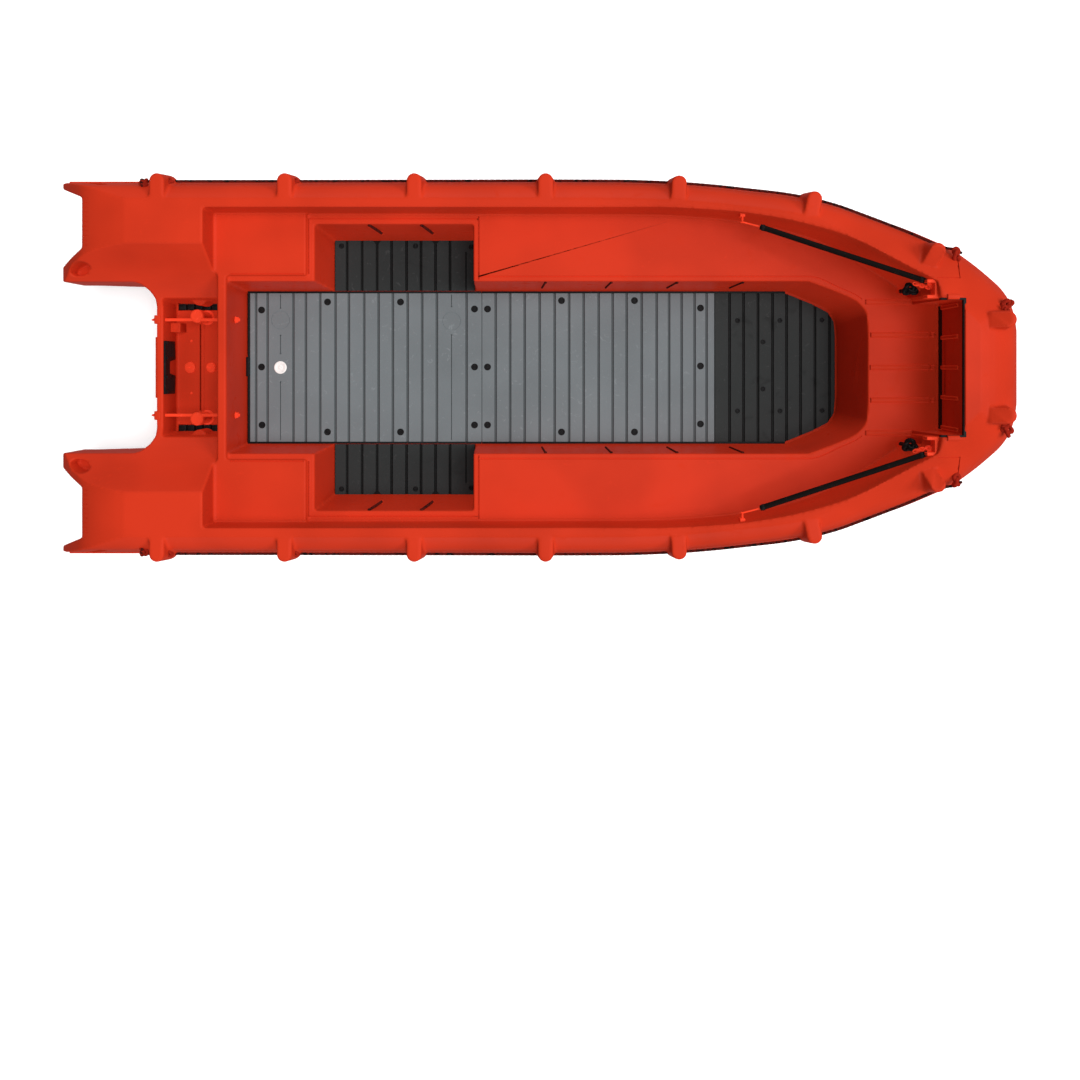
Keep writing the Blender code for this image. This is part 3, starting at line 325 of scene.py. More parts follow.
class BoatSizes(bpy.types.PropertyGroup):
    """Sizes of the finish that a user may change."""
    voxel: FloatProperty(name="Shell grid", description="Grid pitch of the moulded shell",
                         default=0.0075, min=0.004, max=0.03, unit="LENGTH")
    softness: IntProperty(name="Shell softness", description="Smoothing passes of its edges",
                          default=4, min=0, max=40)
    shell_faces: IntProperty(name="Shell faces", description="Triangles kept in the shell",
                             default=160000, min=20000, max=175000)
    groove_width: FloatProperty(name="Groove width", description="Width of the plank grooves",
                                default=0.014, min=0.004, max=0.03, unit="LENGTH")
    groove_depth: FloatProperty(name="Groove depth", description="Depth of the plank grooves",
                                default=0.007, min=0.001, max=0.015, unit="LENGTH")


def colour_choice(name, description, default):
    return FloatVectorProperty(name=name, description=description, default=default, size=3,
                               subtype="COLOR")


class BoatColours(bpy.types.PropertyGroup):
    """Base colours of the boat's finishes."""
    shell: colour_choice("Shell", "Moulded orange red", (0.50, 0.0300, 0.0100))
    coating: colour_choice("Coating", "Coated rods and posts", (0.80, 0.050, 0.017))
    panel_light: colour_choice("Light panel", "Worn grey panels", (0.128, 0.148, 0.156))
    panel_dark: colour_choice("Dark panel", "Charcoal panels", (0.019, 0.0220, 0.0220))
    floor: colour_choice("Floor", "Studio floor", (0.90, 0.90, 0.90))


# Curves and outlines


def curve(knots, values, at):
    """Smooth curve through values at rising knots, whose slopes never overshoot."""
    knots, values = np.asarray(knots, float), np.asarray(values, float)
    step = np.diff(knots)
    rise = np.diff(values) / step
    slope = np.zeros(len(knots))
    slope[0], slope[-1] = rise[0], rise[-1]
    same = rise[1:] * rise[:-1] > 0
    mean = 2 * rise[1:] * rise[:-1] / np.where(same, rise[1:] + rise[:-1], 1)
    slope[1:-1] = np.where(same, mean, 0)
    at = np.clip(np.asarray(at, float), knots[0], knots[-1])
    i = np.clip(np.searchsorted(knots, at) - 1, 0, len(step) - 1)
    t = (at - knots[i]) / step[i]
    h = step[i]
    return (values[i] * (1 + 2 * t) * (1 - t) ** 2 + slope[i] * h * t * (1 - t) ** 2
            + values[i + 1] * t * t * (3 - 2 * t) + slope[i + 1] * h * t * t * (t - 1))


def level(profile, x):
    """Height of a side profile at x."""
    return curve(*zip(*profile), x)


def distances(points):
    """How far along a polyline each of its points lies."""
    return np.concatenate([[0], np.cumsum(np.linalg.norm(np.diff(points, axis=0), axis=1))])


def smooth_run(points, step):
    """Points a step apart on a smooth curve through the given ones."""
    points = np.asarray(points, float)
    along = distances(points)
    at = np.linspace(0, along[-1], max(int(along[-1] / step), 2) + 1)
    return list(zip(*[curve(along, row, at) for row in points.T]))


def resampled(points, count):
    """The same polyline with count points, evenly spaced."""
    points = np.asarray(points, float)
    along = distances(points)
    at = np.linspace(0, along[-1], count)
    return list(zip(*[np.interp(at, along, row) for row in points.T]))


def straight(points, step=0.02):
    """Points about a step apart on a polyline, its corners kept sharp."""
    run = []
    for a, b in zip(points, points[1:]):
        count = max(int(math.dist(a, b) / step), 1)
        run += [tuple(p + (q - p) * k / count for p, q in zip(a, b)) for k in range(count)]
    return run + [tuple(points[-1])]


def left_normals(run):
    """Unit normals to the left of the steps of a plan polyline."""
    run = run / np.linalg.norm(run, axis=1)[:, None]
    return np.stack([-run[:, 1], run[:, 0]], axis=1)


def widened(points, width):
    """A plan polyline moved to its left by a width."""
    points = np.asarray(points, float)
    return [tuple(p) for p in points + left_normals(np.gradient(points, axis=0)) * width]


def on_side(points, sign):
    """Port points, or their mirror images to starboard."""
    return [(x, sign * y, *rest) for x, y, *rest in points]


def span(sign, near, far):
    """Limits across the boat on one side, from their distances off the centreline."""
    return sorted((sign * near, sign * far))


def mirrored(half):
    """Close a port half outline with its mirror image."""
    return list(half) + on_side(reversed(list(half)), -1)


def rectangle(x0, x1, y0, y1):
    return [(x0, y0), (x1, y0), (x1, y1), (x0, y1)]


def across(px, z):
    """x of a column of the photograph at a height."""
    return (px - CENTRE_PX) * (CAMERA_Z - z) / FOCAL_PX + CAMERA_X


def up(py, z):
    """y of a row of the photograph at a height."""
    return (CENTRE_PY - py) * (CAMERA_Z - z) / FOCAL_PX


# The hull's skin


def bow_share(x):
    """0 amidships, 1 at the round bow, smooth between."""
    t = np.clip((np.asarray(x) - BOW_FROM) / (BOW_TO - BOW_FROM), 0.0, 1.0)
    return t * t * (3.0 - 2.0 * t)


def side_points(step):
    """Half outline at the rub strake with its outward normals, evenly spaced."""
    points = np.array(smooth_run(OUTLINE, step))
    run = np.gradient(points, axis=0)
    run[-1] = (0.0, -1.0)
    return points, left_normals(run)


def side_row(points, normals, table, share, end, lift=0.0):
    """A line on the hull's skin, or a lift off it, a share of the way from strake to profile."""
    x = points[:, 0]
    shares, mid, bow = zip(*table)
    weight = bow_share(x)
    inset = curve(shares, mid, share) * (1 - weight) + curve(shares, bow, share) * weight - lift
    strake = level(STRAKE, x)
    z = strake + share * (level(end, x) - strake)
    return np.stack([x - normals[:, 0] * inset, points[:, 1] - normals[:, 1] * inset, z], axis=1)


def outline_at(x, sign):
    """Outline point and outward normal where the outline passes x, on one side."""
    points, normals = side_points(0.01)
    i = int(np.argmin(np.abs(points[:, 0] - x)))
    return (Vector((points[i][0], sign * points[i][1])),
            Vector((normals[i][0], sign * normals[i][1])))


# Mesh tools


def loft(rings, capped=True):
    """Skin closed rings of equal point counts."""
    rings = np.asarray(rings)
    count, around = rings.shape[:2]
    bm = bmesh.new()
    bmesh.ops.create_grid(bm, x_segments=around, y_segments=count - 1, size=1)
    for v in bm.verts:
        u = round((v.co.x + 1) / 2 * around) % around
        w = round((v.co.y + 1) / 2 * (count - 1))
        v.co = rings[w][u]
    bmesh.ops.remove_doubles(bm, verts=bm.verts, dist=1e-6)
    if capped:
        bmesh.ops.holes_fill(bm, edges=[e for e in bm.edges if e.is_boundary])
    bmesh.ops.recalc_face_normals(bm, faces=bm.faces)
    return bm


def prism(outline, low, high, axis):
    """Extrude an outline: 'z' takes (x, y), 'y' takes (x, z) and 'x' takes (y, z)."""
    turn = {"z": lambda a, b, h: (a, b, h), "y": lambda a, b, h: (a, h, b),
            "x": lambda a, b, h: (h, a, b)}[axis]
    return loft([[turn(a, b, h) for a, b in outline] for h in (low, high)])


def frustum(foot, foot_z, top, top_z):
    """Loft between two outlines of equal counts at two heights."""
    return loft([[(x, y, foot_z) for x, y in foot], [(x, y, top_z) for x, y in top]])


def cube(x, y, z):
    return prism(rectangle(*x, *y), *z, "z")


def aimed(axis):
    """Matrix that turns the local Z axis to an axis."""
    return Vector(axis).to_track_quat("Z", "Y").to_matrix().to_4x4()


def rod(start, end, radius, sides=24):
    start, end = Vector(start), Vector(end)
    bm = bmesh.new()
    bmesh.ops.create_cone(bm, cap_ends=True, segments=sides, radius1=radius, radius2=radius,
                          depth=(end - start).length)
    bm.transform(Matrix.Translation((start + end) / 2) @ aimed(end - start))
    return bm


def turned(profile, centre=(0, 0, 0), axis=(0, 0, 1), sides=32, scale=(1.0, 1.0)):
    """Spin a profile round an axis, with its radii and heights scaled."""
    bm = bmesh.new()
    ring = [bm.verts.new((r * scale[0], 0, h * scale[1])) for r, h in profile]
    edges = [bm.edges.new(pair) for pair in zip(ring, ring[1:])]
    bmesh.ops.spin(bm, geom=ring + edges, cent=(0, 0, 0), axis=(0, 0, 1), steps=sides,
                   angle=2 * math.pi, use_merge=True)
    bmesh.ops.remove_doubles(bm, verts=bm.verts, dist=1e-6)
    bmesh.ops.recalc_face_normals(bm, faces=bm.faces)
    bm.transform(Matrix.Translation(Vector(centre)) @ aimed(axis))
    return bm


def knob(centre, radius, axis=(0, 0, 1)):
    """Domed button on a short neck."""
    return turned(KNOB, centre, axis, 20, (radius, radius))


def rounded(bm, width, segments=3, angle=30):
    """Bevel the edges sharper than an angle."""
    sharp = [e for e in bm.edges
             if e.is_manifold and e.calc_face_angle(0.0) > math.radians(angle)]
    bmesh.ops.bevel(bm, geom=sharp, offset=width, offset_type="OFFSET", segments=segments,
                    profile=0.5, affect="EDGES", clamp_overlap=True, material=-1)
    return bm


def joined(parts):
    """One bmesh of several, which are freed."""
    whole = bmesh.new()
    for part in parts:
        mesh = bpy.data.meshes.new("part")
        part.to_mesh(mesh)
        part.free()
        whole.from_mesh(mesh)
        bpy.data.meshes.remove(mesh)
    return whole


def settle(obj):
    """Replace an object's mesh by what its modifiers make of it."""
    bpy.context.view_layer.update()
    graph = bpy.context.evaluated_depsgraph_get()
    made = bpy.data.meshes.new_from_object(obj.evaluated_get(graph))
    obj.modifiers.clear()
    obj.data = made


def combine(obj, tool, operation="DIFFERENCE"):
    """Cut, join or intersect with a closed bmesh at once."""
    other = store("tool", tool)
    mod = obj.modifiers.new("combine", "BOOLEAN")
    mod.operation = operation
    mod.solver = "MANIFOLD"
    mod.object = other
    settle(obj)
    bpy.data.objects.remove(other)


def store(name, bm, cutters=()):
    """An object made of a bmesh, less each of the cutters."""
    mesh = bpy.data.meshes.new(name)
    bm.to_mesh(mesh)
    bm.free()
    obj = bpy.data.objects.new(name, mesh)
    bpy.context.scene.collection.objects.link(obj)
    for cutter in cutters:
        combine(obj, cutter)
    return obj


def piece(obj, mat, slot, replaced=(), angle=35):
    """Finish a piece: material, shading, the body it rides on and the nodes it stands for."""
    obj.data.materials.clear()
    obj.data.materials.append(mat)
    obj.data.shade_smooth()
    obj.data.set_sharp_from_angle(angle=math.radians(angle))
    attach(obj, "root")
    if replaced:
        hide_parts(*replaced)


# Finishes


def node(tree, kind, inputs, **settings):
    """A node whose properties are set and whose inputs get a value or a link from a socket."""
    made = tree.nodes.new("ShaderNode" + kind)
    for name, value in settings.items():
        setattr(made, name, value)
    for name, value in inputs.items():
        if isinstance(value, bpy.types.NodeSocket):
            tree.links.new(value, made.inputs[name])
        else:
            made.inputs[name].default_value = value
    return made


def reckoned(tree, operation, first, second):
    return node(tree, "Math", {0: first, 1: second}, operation=operation).outputs[0]


def mapped(tree, value, limits, **settings):
    """A value taken from one range to another."""
    return node(tree, "MapRange", {"Value": value, **limits}, **settings).outputs["Result"]


def blend(tree, share, low, high):
    """A colour between two, each a socket or three numbers."""
    low, high = (c if isinstance(c, bpy.types.NodeSocket) else (*c, 1.0) for c in (low, high))
    return node(tree, "Mix", {"Factor": share, "A": low, "B": high},
                data_type="RGBA").outputs["Result"]


def own_place(tree):
    """The piece's own coordinates."""
    return node(tree, "TexCoord", {}).outputs["Object"]


def noise(tree, **inputs):
    inputs = {"Vector": own_place(tree), **inputs}
    return node(tree, "TexNoise", inputs).outputs["Fac"]


def new_group(name, given, results):
    """A node group, with the sockets of its input and output nodes."""
    group = bpy.data.node_groups.new(name, "ShaderNodeTree")
    for label, value in given.items():
        socket = group.interface.new_socket(name=label, in_out="INPUT",
                                            socket_type="NodeSocketFloat")
        socket.default_value = value
    for label in results:
        group.interface.new_socket(name=label, in_out="OUTPUT", socket_type="NodeSocketFloat")
    source, sink = (group.nodes.new("NodeGroup" + way) for way in ("Input", "Output"))
    return group, source.outputs, sink.inputs


def grain_group():
    """Fine moulded grain over slow waves of the wall, as one height."""
    found = bpy.data.node_groups.get("Moulded grain")
    if found:
        return found
    given = {"Grain size": 0.002, "Wave size": 0.15, "Wave share": 0.5}
    group, given, results = new_group("Moulded grain", given, ["Height"])
    fine, slow = (noise(group, Scale=reckoned(group, "DIVIDE", 1.0, given[size]), Detail=2.0,
                        Roughness=0.5) for size in ("Grain size", "Wave size"))
    mix = node(group, "Mix", {"Factor": given["Wave share"], "A": fine, "B": slow},
               data_type="FLOAT")
    group.links.new(mix.outputs["Result"], results["Height"])
    return group


def scuff_and_glint_group():
    """Mask of thin scuff lines, which also place the ropes' painted red highlights, and of broad
    patches of wear.
    """
    found = bpy.data.node_groups.get("Scuffs and glints")
    if found:
        return found
    group, given, results = new_group("Scuffs and glints", {"Length": 0.08, "Amount": 0.4},
                                      ["Scratches and glints", "Patches"])
    lines = noise(group, Scale=reckoned(group, "DIVIDE", 1.0, given["Length"]), Detail=8.0,
                  Roughness=0.75, Distortion=2.5)
    broad = noise(group, Scale=9.0, Detail=3.0, Distortion=1.2)
    edge = reckoned(group, "SUBTRACT", 0.62, reckoned(group, "MULTIPLY", given["Amount"], 0.16))
    for pattern, label, width in ((lines, "Scratches and glints", 0.03), (broad, "Patches", 0.12)):
        limits = {"From Min": edge, "From Max": reckoned(group, "ADD", edge, width)}
        band = mapped(group, pattern, limits, interpolation_type="SMOOTHSTEP")
        group.links.new(band, results[label])
    return group


def finish(name, colour, roughness, grain=0.002, share=0.5, bump=0.0004, scuffs_and_glints=0.3,
           wear_and_glint=None, metallic=0.0, specular=0.5, groove_shade=None):
    """A Principled material whose colour, roughness and normal vary over the surface, with painted
    shade in grooves where asked.
    """
    mat = bpy.data.materials.get(name)
    if mat:
        return mat
    mat = bpy.data.materials.new(name)
    mat.use_nodes = True
    tree = mat.node_tree
    shader = tree.nodes["Principled BSDF"].inputs
    shader["Metallic"].default_value = metallic
    shader["Specular IOR Level"].default_value = specular

    height = node(tree, "Group", {"Grain size": grain, "Wave share": share},
                  node_tree=grain_group())
    raised = node(tree, "Bump", {"Strength": 1.0, "Distance": bump,
                                 "Height": height.outputs["Height"]})
    tree.links.new(raised.outputs["Normal"], shader["Normal"])

    marks = node(tree, "Group", {"Amount": scuffs_and_glints}, node_tree=scuff_and_glint_group()).outputs
    drift = mapped(tree, noise(tree, Scale=2.3, Detail=2.0), {"From Min": 0.3, "From Max": 0.6})
    tint = blend(tree, drift, [c * 0.86 for c in colour], colour)
    wear_and_glint = wear_and_glint or [min(1.0, c * 1.25 + 0.02) for c in colour]
    # Colour over the scratch mask: wear on most finishes, painted red highlights on the ropes and
    # knots.
    tint = blend(tree, reckoned(tree, "MULTIPLY", marks["Scratches and glints"], 0.5), tint, wear_and_glint)
    # Painted shade: the colour darkens below the panel's top, in its grooves, where shade would
    # fall.
    if groove_shade:
        top, darkness = groove_shade
        z = node(tree, "SeparateXYZ", {0: own_place(tree)}).outputs["Z"]
        deep = mapped(tree, z, {"From Min": top - 0.0012, "From Max": top - 0.0045},
                      interpolation_type="SMOOTHSTEP")
        tint = blend(tree, deep, tint, [darkness * c for c in colour])
    tree.links.new(tint, shader["Base Color"])
    limits = {"To Min": roughness, "To Max": roughness + 0.16}
    tree.links.new(mapped(tree, marks["Patches"], limits), shader["Roughness"])
    return mat


def shell_finish():
    return finish("Moulded orange polyethylene", bpy.context.scene.boat_colours.shell, 0.42,
                  share=0.6, scuffs_and_glints=0.1, wear_and_glint=(0.52, 0.030, 0.010), specular=0.03)


def rod_finish():
    return finish("Orange coated steel", bpy.context.scene.boat_colours.coating, 0.45,
                  grain=0.001, share=0.2, bump=0.0001, scuffs_and_glints=0.2, specular=0.05)


# Grey panel with painted shade in its grooves: their colour falls to 0.45 of it below the top.
def light_panel_finish():
    return finish("Worn grey panel", bpy.context.scene.boat_colours.panel_light, 0.55,
                  grain=0.0015, share=0.15, bump=0.0005, scuffs_and_glints=0.15, specular=0.12,
                  groove_shade=(PANEL_TOP, 0.45))


# Charcoal panel with painted shade in its grooves: their colour falls to 0.12 of it below the top.
def dark_panel_finish(top):
    return finish(f"Charcoal panel {top:.3f}", bpy.context.scene.boat_colours.panel_dark, 0.5,
                  grain=0.0015, share=0.15, bump=0.0005, scuffs_and_glints=0.1, specular=0.10,
                  groove_shade=(top, 0.12))


def rubber_finish():
    return finish("Black rubber", (0.0045, 0.0045, 0.005), 0.5, grain=0.001, share=0.2,
                  bump=0.0003, scuffs_and_glints=0.2, wear_and_glint=(0.02, 0.02, 0.02), specular=0.1)


def hose_finish():
    return finish("Black hose", (0.0040, 0.0028, 0.0024), 0.55, grain=0.001, share=0.2,
                  bump=0.0003, scuffs_and_glints=0.2, wear_and_glint=(0.014, 0.011, 0.010), specular=0.05)


# Black rope whose red flecks are painted highlights.
def rope_finish():
    return finish("Black braided rope", (0.004, 0.003, 0.003), 0.8, grain=0.0012, share=0.0,
                  bump=0.0006, scuffs_and_glints=1.1, wear_and_glint=(0.13, 0.010, 0.006), specular=0.05)


# Knots with denser red flecks, as painted highlights.
def knot_finish():
    return finish("Black rope with painted red glints", (0.030, 0.003, 0.002), 0.8, grain=0.0012, share=0.0,
                  bump=0.0006, scuffs_and_glints=2.2, wear_and_glint=(0.48, 0.024, 0.010), specular=0.05)


def steel_finish():
    return finish("Dull stainless steel", (0.30, 0.29, 0.28), 0.35, grain=0.0008, share=0.1,
                  bump=0.0001, scuffs_and_glints=0.5, wear_and_glint=(0.40, 0.39, 0.38), metallic=1.0)


def white_finish():
    return finish("White plastic", (0.72, 0.73, 0.71), 0.4, grain=0.001, bump=0.0002,
                  scuffs_and_glints=0.2, wear_and_glint=(0.5, 0.5, 0.48), specular=0.2)


# The moulded shell


def body_loft(step):
    """Belly and gunwale as one closed skin of rings, port belly to starboard belly."""
    points, normals = side_points(step)
    rows = [side_row(points, normals, BELLY_ROUND, share, BELLY)
            for share in np.linspace(1.0, 0.1, 10)]
    rows += [side_row(points, normals, GUNWALE_ROUND, share, SHEER)
             for share in np.linspace(0.0, 1.0, 18)]
    port = np.stack(rows, axis=1)
    rings = np.concatenate([port, port[:, ::-1] * (1, -1, 1)], axis=1)
    return loft(np.concatenate([rings, rings[-1:] * (1, 0, 1)]))


def bottom_loft(step):
    """Planing bottom with its keel flat, knuckles and chines."""
    rings = []
    for x in np.arange(STERN_X, KEEL[-1][0] + step, step).clip(max=KEEL[-1][0]):
        keel, chine, half = level(KEEL, x), level(CHINE, x), level(CHINE_HALF, x)
        lift = chine - keel
        inner, outer = (np.interp(x, *zip(*rise)) for rise in (INNER_RISE, OUTER_RISE))
        under = max(level(BELLY, x), chine) + 0.02
        port = [(x, min(0.10, 0.35 * half), keel),
                (x, 0.44 * half, keel + inner * lift),
                (x, 0.46 * half, keel + (inner + 0.08) * lift),
                (x, 0.78 * half, keel + outer * lift),
                (x, 0.80 * half, keel + (outer + 0.10) * lift),
                (x, half, chine),
                (x, half + 0.10, under)]
        rings.append(mirrored(port))
    return loft(rings)


def stud_form(centre, normal, foot_z, top_z, fall):
    """Half cone with a top that falls inboard until it runs out in the gunwale."""
    side = Vector((-normal.y, normal.x))
    turns = np.linspace(-math.pi / 2, math.pi / 2, 19)
    rings = []
    for radius, share, z, drop in ((STUD_FOOT_R, 1.0, foot_z, 0.0),
                                   (STUD_TOP_R, STUD_TOP_SHARE, top_z, fall)):
        ring = [centre + radius * (math.cos(a) * normal + math.sin(a) * side) for a in turns]
        inboard = STUD_LENGTH * share * normal
        heel = [centre + radius * side - inboard, centre - radius * side - inboard]
        rings.append([(*p, z) for p in ring] + [(*p, z - drop) for p in heel])
    return loft(rings)


def studs():
    """Every moulded boss of the gunwale."""
    for _, sign in SIDES:
        for x in STUD_X:
            point, normal = outline_at(x, sign)
            share = float(bow_share(x))
            point = point + normal * (STUD_OUT - STUD_FOOT_R - 0.5 * share * STUD_LENGTH)
            top = float(level(SHEER, x)) + 0.002
            yield stud_form(point, normal, top - STUD_DROP, top, STUD_FALL * share)
        (x, y), top, depth = BOW_STUD
        yield stud_form(Vector((x, sign * y)), Vector((1.0, 0.0)), top - depth, top, STUD_FALL)


def hollows():
    """Every cut into the body, as closed bmeshes."""
    yield prism(mirrored(GAP_PLAN), UNDER, OVER, "z")
    for _, sign in SIDES:
        yield prism(on_side(NOTCH_PLAN, sign), UNDER, OVER, "z")
    stern = smooth_run(STERN_ROUND, 0.02)
    top = [(FAR_AFT, OVER), (FAR_AFT, TAIL_SPLIT[0]), (TAIL_X, TAIL_SPLIT[0])] + stern
    yield prism(top + [(stern[-1][0], OVER)], -FAR_SIDE, FAR_SIDE, "y")
    rake = [(FAR_AFT, UNDER), (FAR_AFT, TAIL_SPLIT[1]), (TAIL_X, TAIL_SPLIT[1])] + STERN_RAKE
    yield prism(rake + [(STERN_RAKE[-1][0], UNDER)], -FAR_SIDE, FAR_SIDE, "y")
    slope = [(WELL_SLOPE[0][0], OVER)] + smooth_run(WELL_SLOPE, 0.02)
    yield prism(slope + [(-y, z) for y, z in reversed(slope)], FAR_AFT, WELL_LIP, "x")
    yield frustum(rectangle(TRANSOM_FORE, WELL_FORE - 0.01, -WELL_FOOT, WELL_FOOT), WELL_Z,
                  rectangle(TRANSOM_FORE, WELL_LIP + 0.004, -WELL_MOUTH, WELL_MOUTH), WELL_HIGH)
    foot, top = (smooth_run(run, 0.03) for run in (RECESS_FOOT, RECESS_TOP))
    count = min(len(foot), len(top))
    foot, top = (resampled(run, count) for run in (foot, top))
    yield frustum(mirrored(foot + NICHE_FOOT), BENCH_Z, mirrored(top + NICHE_TOP), OVER)
    yield frustum(rectangle(BENCH_AFT, AFT_FORE, -AFT_SIDE_FOOT, AFT_SIDE_FOOT), AFT_BENCH_Z,
                  rectangle(BENCH_AFT - 0.004, AFT_FORE, -AFT_SIDE_TOP, AFT_SIDE_TOP), OVER)
    yield cube((TROUGH_TOP_AFT[0], LIP_FORE), (-LIP_HALF, LIP_HALF), (BENCH_Z, OVER))
    foot, top = (resampled(smooth_run(run, 0.02), 24) for run in (TROUGH_FOOT, TROUGH_TOP))
    yield frustum(mirrored([TROUGH_FOOT_AFT] + foot), FLOOR_Z,
                  mirrored([TROUGH_TOP_AFT] + top), BENCH_CUT)
    for _, sign in SIDES:
        foot, top = (rectangle(aft, fore, POCKET_INNER * sign, outboard * sign)
                     for aft, fore, outboard in (POCKET_FOOT, POCKET_TOP))
        yield frustum(foot, FLOOR_Z, top, BENCH_CUT)
    centre, (length, width), tilt = HAND_HOLE
    along = Vector((math.cos(tilt), math.sin(tilt))) * length / 2
    side = Vector((-math.sin(tilt), math.cos(tilt))) * width / 2
    ring = [Vector(centre) + math.cos(a) * along + math.sin(a) * side
            for a in np.linspace(0, 2 * math.pi, 32, endpoint=False)]
    for _, sign in SIDES:
        yield prism(on_side(ring, sign), HAND_HOLE_Z, OVER, "z")


def remesh(obj, pitch, passes):
    """Even out a closed body to a grid and soften its edges."""
    grid = obj.modifiers.new("grid", "REMESH")
    grid.mode = "VOXEL"
    grid.voxel_size = pitch
    soft = obj.modifiers.new("soft", "SMOOTH")
    soft.factor = 0.5
    soft.iterations = passes
    settle(obj)


def thin_out(obj, faces):
    """Collapse a mesh to about a count of triangles."""
    obj.data.calc_loop_triangles()
    fewer = obj.modifiers.new("fewer", "DECIMATE")
    fewer.ratio = min(1.0, faces / len(obj.data.loop_triangles))
    fewer.use_collapse_triangulate = True
    settle(obj)


def strip(skin, path, width, section, way):
    """Closed bar that follows the skin under a path; section holds (share of width, rise)."""
    way = Vector(way)
    places = []
    for start in path:
        start = Vector((*start, OVER)) if len(start) == 2 else Vector(start)
        hit, place, _, _ = skin.ray_cast(start, way)
        if not hit:
            raise RuntimeError(f"no skin under {tuple(start)}")
        places.append(place)
    rings = []
    for i, place in enumerate(places):
        along = places[min(i + 1, len(places) - 1)] - places[max(i - 1, 0)]
        side = along.cross(way).normalized() * width / 2
        rings.append([place + side * share - way * rise for share, rise in section])
    return loft(rings)


def ridge(skin, path, width, height, way=(0, 0, -1)):
    """Rounded rib on the skin."""
    section = [(-1, -0.012), (-1, 0.4 * height), (-0.8, 0.85 * height), (-0.5, height),
               (0.5, height), (0.8, 0.85 * height), (1, 0.4 * height), (1, -0.012)]
    return strip(skin, path, width, section, way)


def groove(skin, path, width, depth, way=(0, 0, -1)):
    """Cutter for a rounded groove in the skin."""
    section = [(-1.0, 0.02), (-1.0, 0.0), (-0.7, -0.75 * depth), (-0.3, -depth),
               (0.3, -depth), (0.7, -0.75 * depth), (1.0, 0.0), (1.0, 0.02)]
    return strip(skin, path, width, section, way)


def raised_relief(skin):
    """Ribs and knobs that stand on the shell's skin."""
    aft, fore, *size = SEAT_RIB
    (from_x, low, high), back_size = BACK_RIB
    for y in SEAT_RIB_Y:
        yield ridge(skin, straight([(aft + abs(y) * RIB_SPREAD, y), (fore, y)], 0.03), *size)
        run = straight([(from_x, y * BACK_SHARE, z) for z in (low, high)], 0.03)
        yield ridge(skin, run, *back_size, way=(1, 0, 0))
    gap, rise, radius = SEAT_KNOB
    back_x, back_z, back_radius = BACK_KNOB
    for y in SEAT_RIB_Y[1:-1]:
        yield knob((fore + gap, y, BENCH_Z + rise), radius)
        yield knob((back_x, y * BACK_SHARE, back_z), back_radius, axis=(-1, 0, 0.15))
    for _, sign in SIDES:
        y = sign * ROD_Y
        yield rounded(cube(ROD_PAD_X, (y - ROD_PAD_HALF, y + ROD_PAD_HALF), ROD_PAD_Z), 0.006)


def handle_slot(sign):
    """A round-ended slot let into the stern's side, as a bmesh."""
    near, far, radius, depth = HANDLE_SLOT
    along = math.atan2(far[1] - near[1], far[0] - near[0])
    half_turn = np.linspace(-math.pi / 2, math.pi / 2, 12)
    ring = [(x + radius * math.cos(a), z + radius * math.sin(a))
            for (x, z), turn in ((far, along), (near, along + math.pi)) for a in turn + half_turn]
    return prism(ring, *span(sign, BEAM_HALF - depth, BEAM_HALF + 0.1), "y")


def sunk_relief(skin):
    """Lines and slots cut in the shell's skin."""
    start = (PAD_FORE_X, TROUGH_TOP[0][1])
    rim = smooth_run([(start[0] + 0.05, start[1])] + TROUGH_TOP, 0.03)
    rim = [(start[0], start[1] + LIP_WIDTH)] + widened(rim, LIP_WIDTH)
    rim = [p for p in rim if p[1] > SEAT_RIB_Y[-1] + 0.006]
    for _, sign in SIDES:
        for run in [rim] + PAD_RUNS:
            yield groove(skin, straight(on_side(run, sign), 0.025), *PAD_LINE)
        yield groove(skin, straight(on_side(SEAM, sign), 0.012), *SEAM_LINE)
        for *ends, way in SEAM_SIDE:
            yield groove(skin, straight(on_side(ends, sign), 0.012), *SEAM_LINE,
                         way=on_side([way], sign)[0])
        for y in HORN_TICKS:
            yield groove(skin, [(x, sign * y) for x in HORN_TICK_X], *HORN_LINE)
        yield prism(on_side(SEAT_PIT, sign), *SEAT_PIT_Z, "z")
        yield cube(WELL_PIT[0], span(sign, *WELL_PIT[1]), WELL_PIT[2])
        yield handle_slot(sign)
    yield cube(*SEAT_SLOT)
    yield rounded(cube(*WELL_SLOT), 0.0015)
    yield groove(skin, straight(WELL_STEP, 0.03), *WELL_STEP_LINE)
    yield cube(*CLIP_PIT)


class BOAT_OT_shell(bpy.types.Operator):
    """Mould the double-skinned shell: hull bottom, deck, benches, well and studs"""
    bl_idname = "boat.shell"
    bl_label = "Moulded shell"

    def execute(self, context):
        sizes = context.scene.boat_sizes
        shell = store("moulded_shell", body_loft(0.03))
        combine(shell, bottom_loft(0.05), "UNION")
        for stud in studs():
            combine(shell, stud, "UNION")
        for hollow in hollows():
            combine(shell, hollow)
        x, y, radius, top = BOSS
        for _, sign in SIDES:
            boss = rod((x, sign * y, WELL_Z - 0.02), (x, sign * y, top), radius)
            combine(shell, boss, "UNION")
        remesh(shell, sizes.voxel * (1.0), sizes.softness)
        thin_out(shell, sizes.shell_faces)
        context.view_layer.update()
        raised, sunk = joined(raised_relief(shell)), joined(sunk_relief(shell))
        combine(shell, raised, "UNION")
        combine(shell, sunk)
        combine(shell, prism(STEM_SEAT, -STEM_HALF - FIT, STEM_HALF + FIT, "y"))
        piece(shell, shell_finish(), "shell",
              ("hull_bottom", "transom_and_well", "stern_float_port", "stern_float_starboard",
               "deck_moulding"), angle=50)
        return {"FINISHED"}


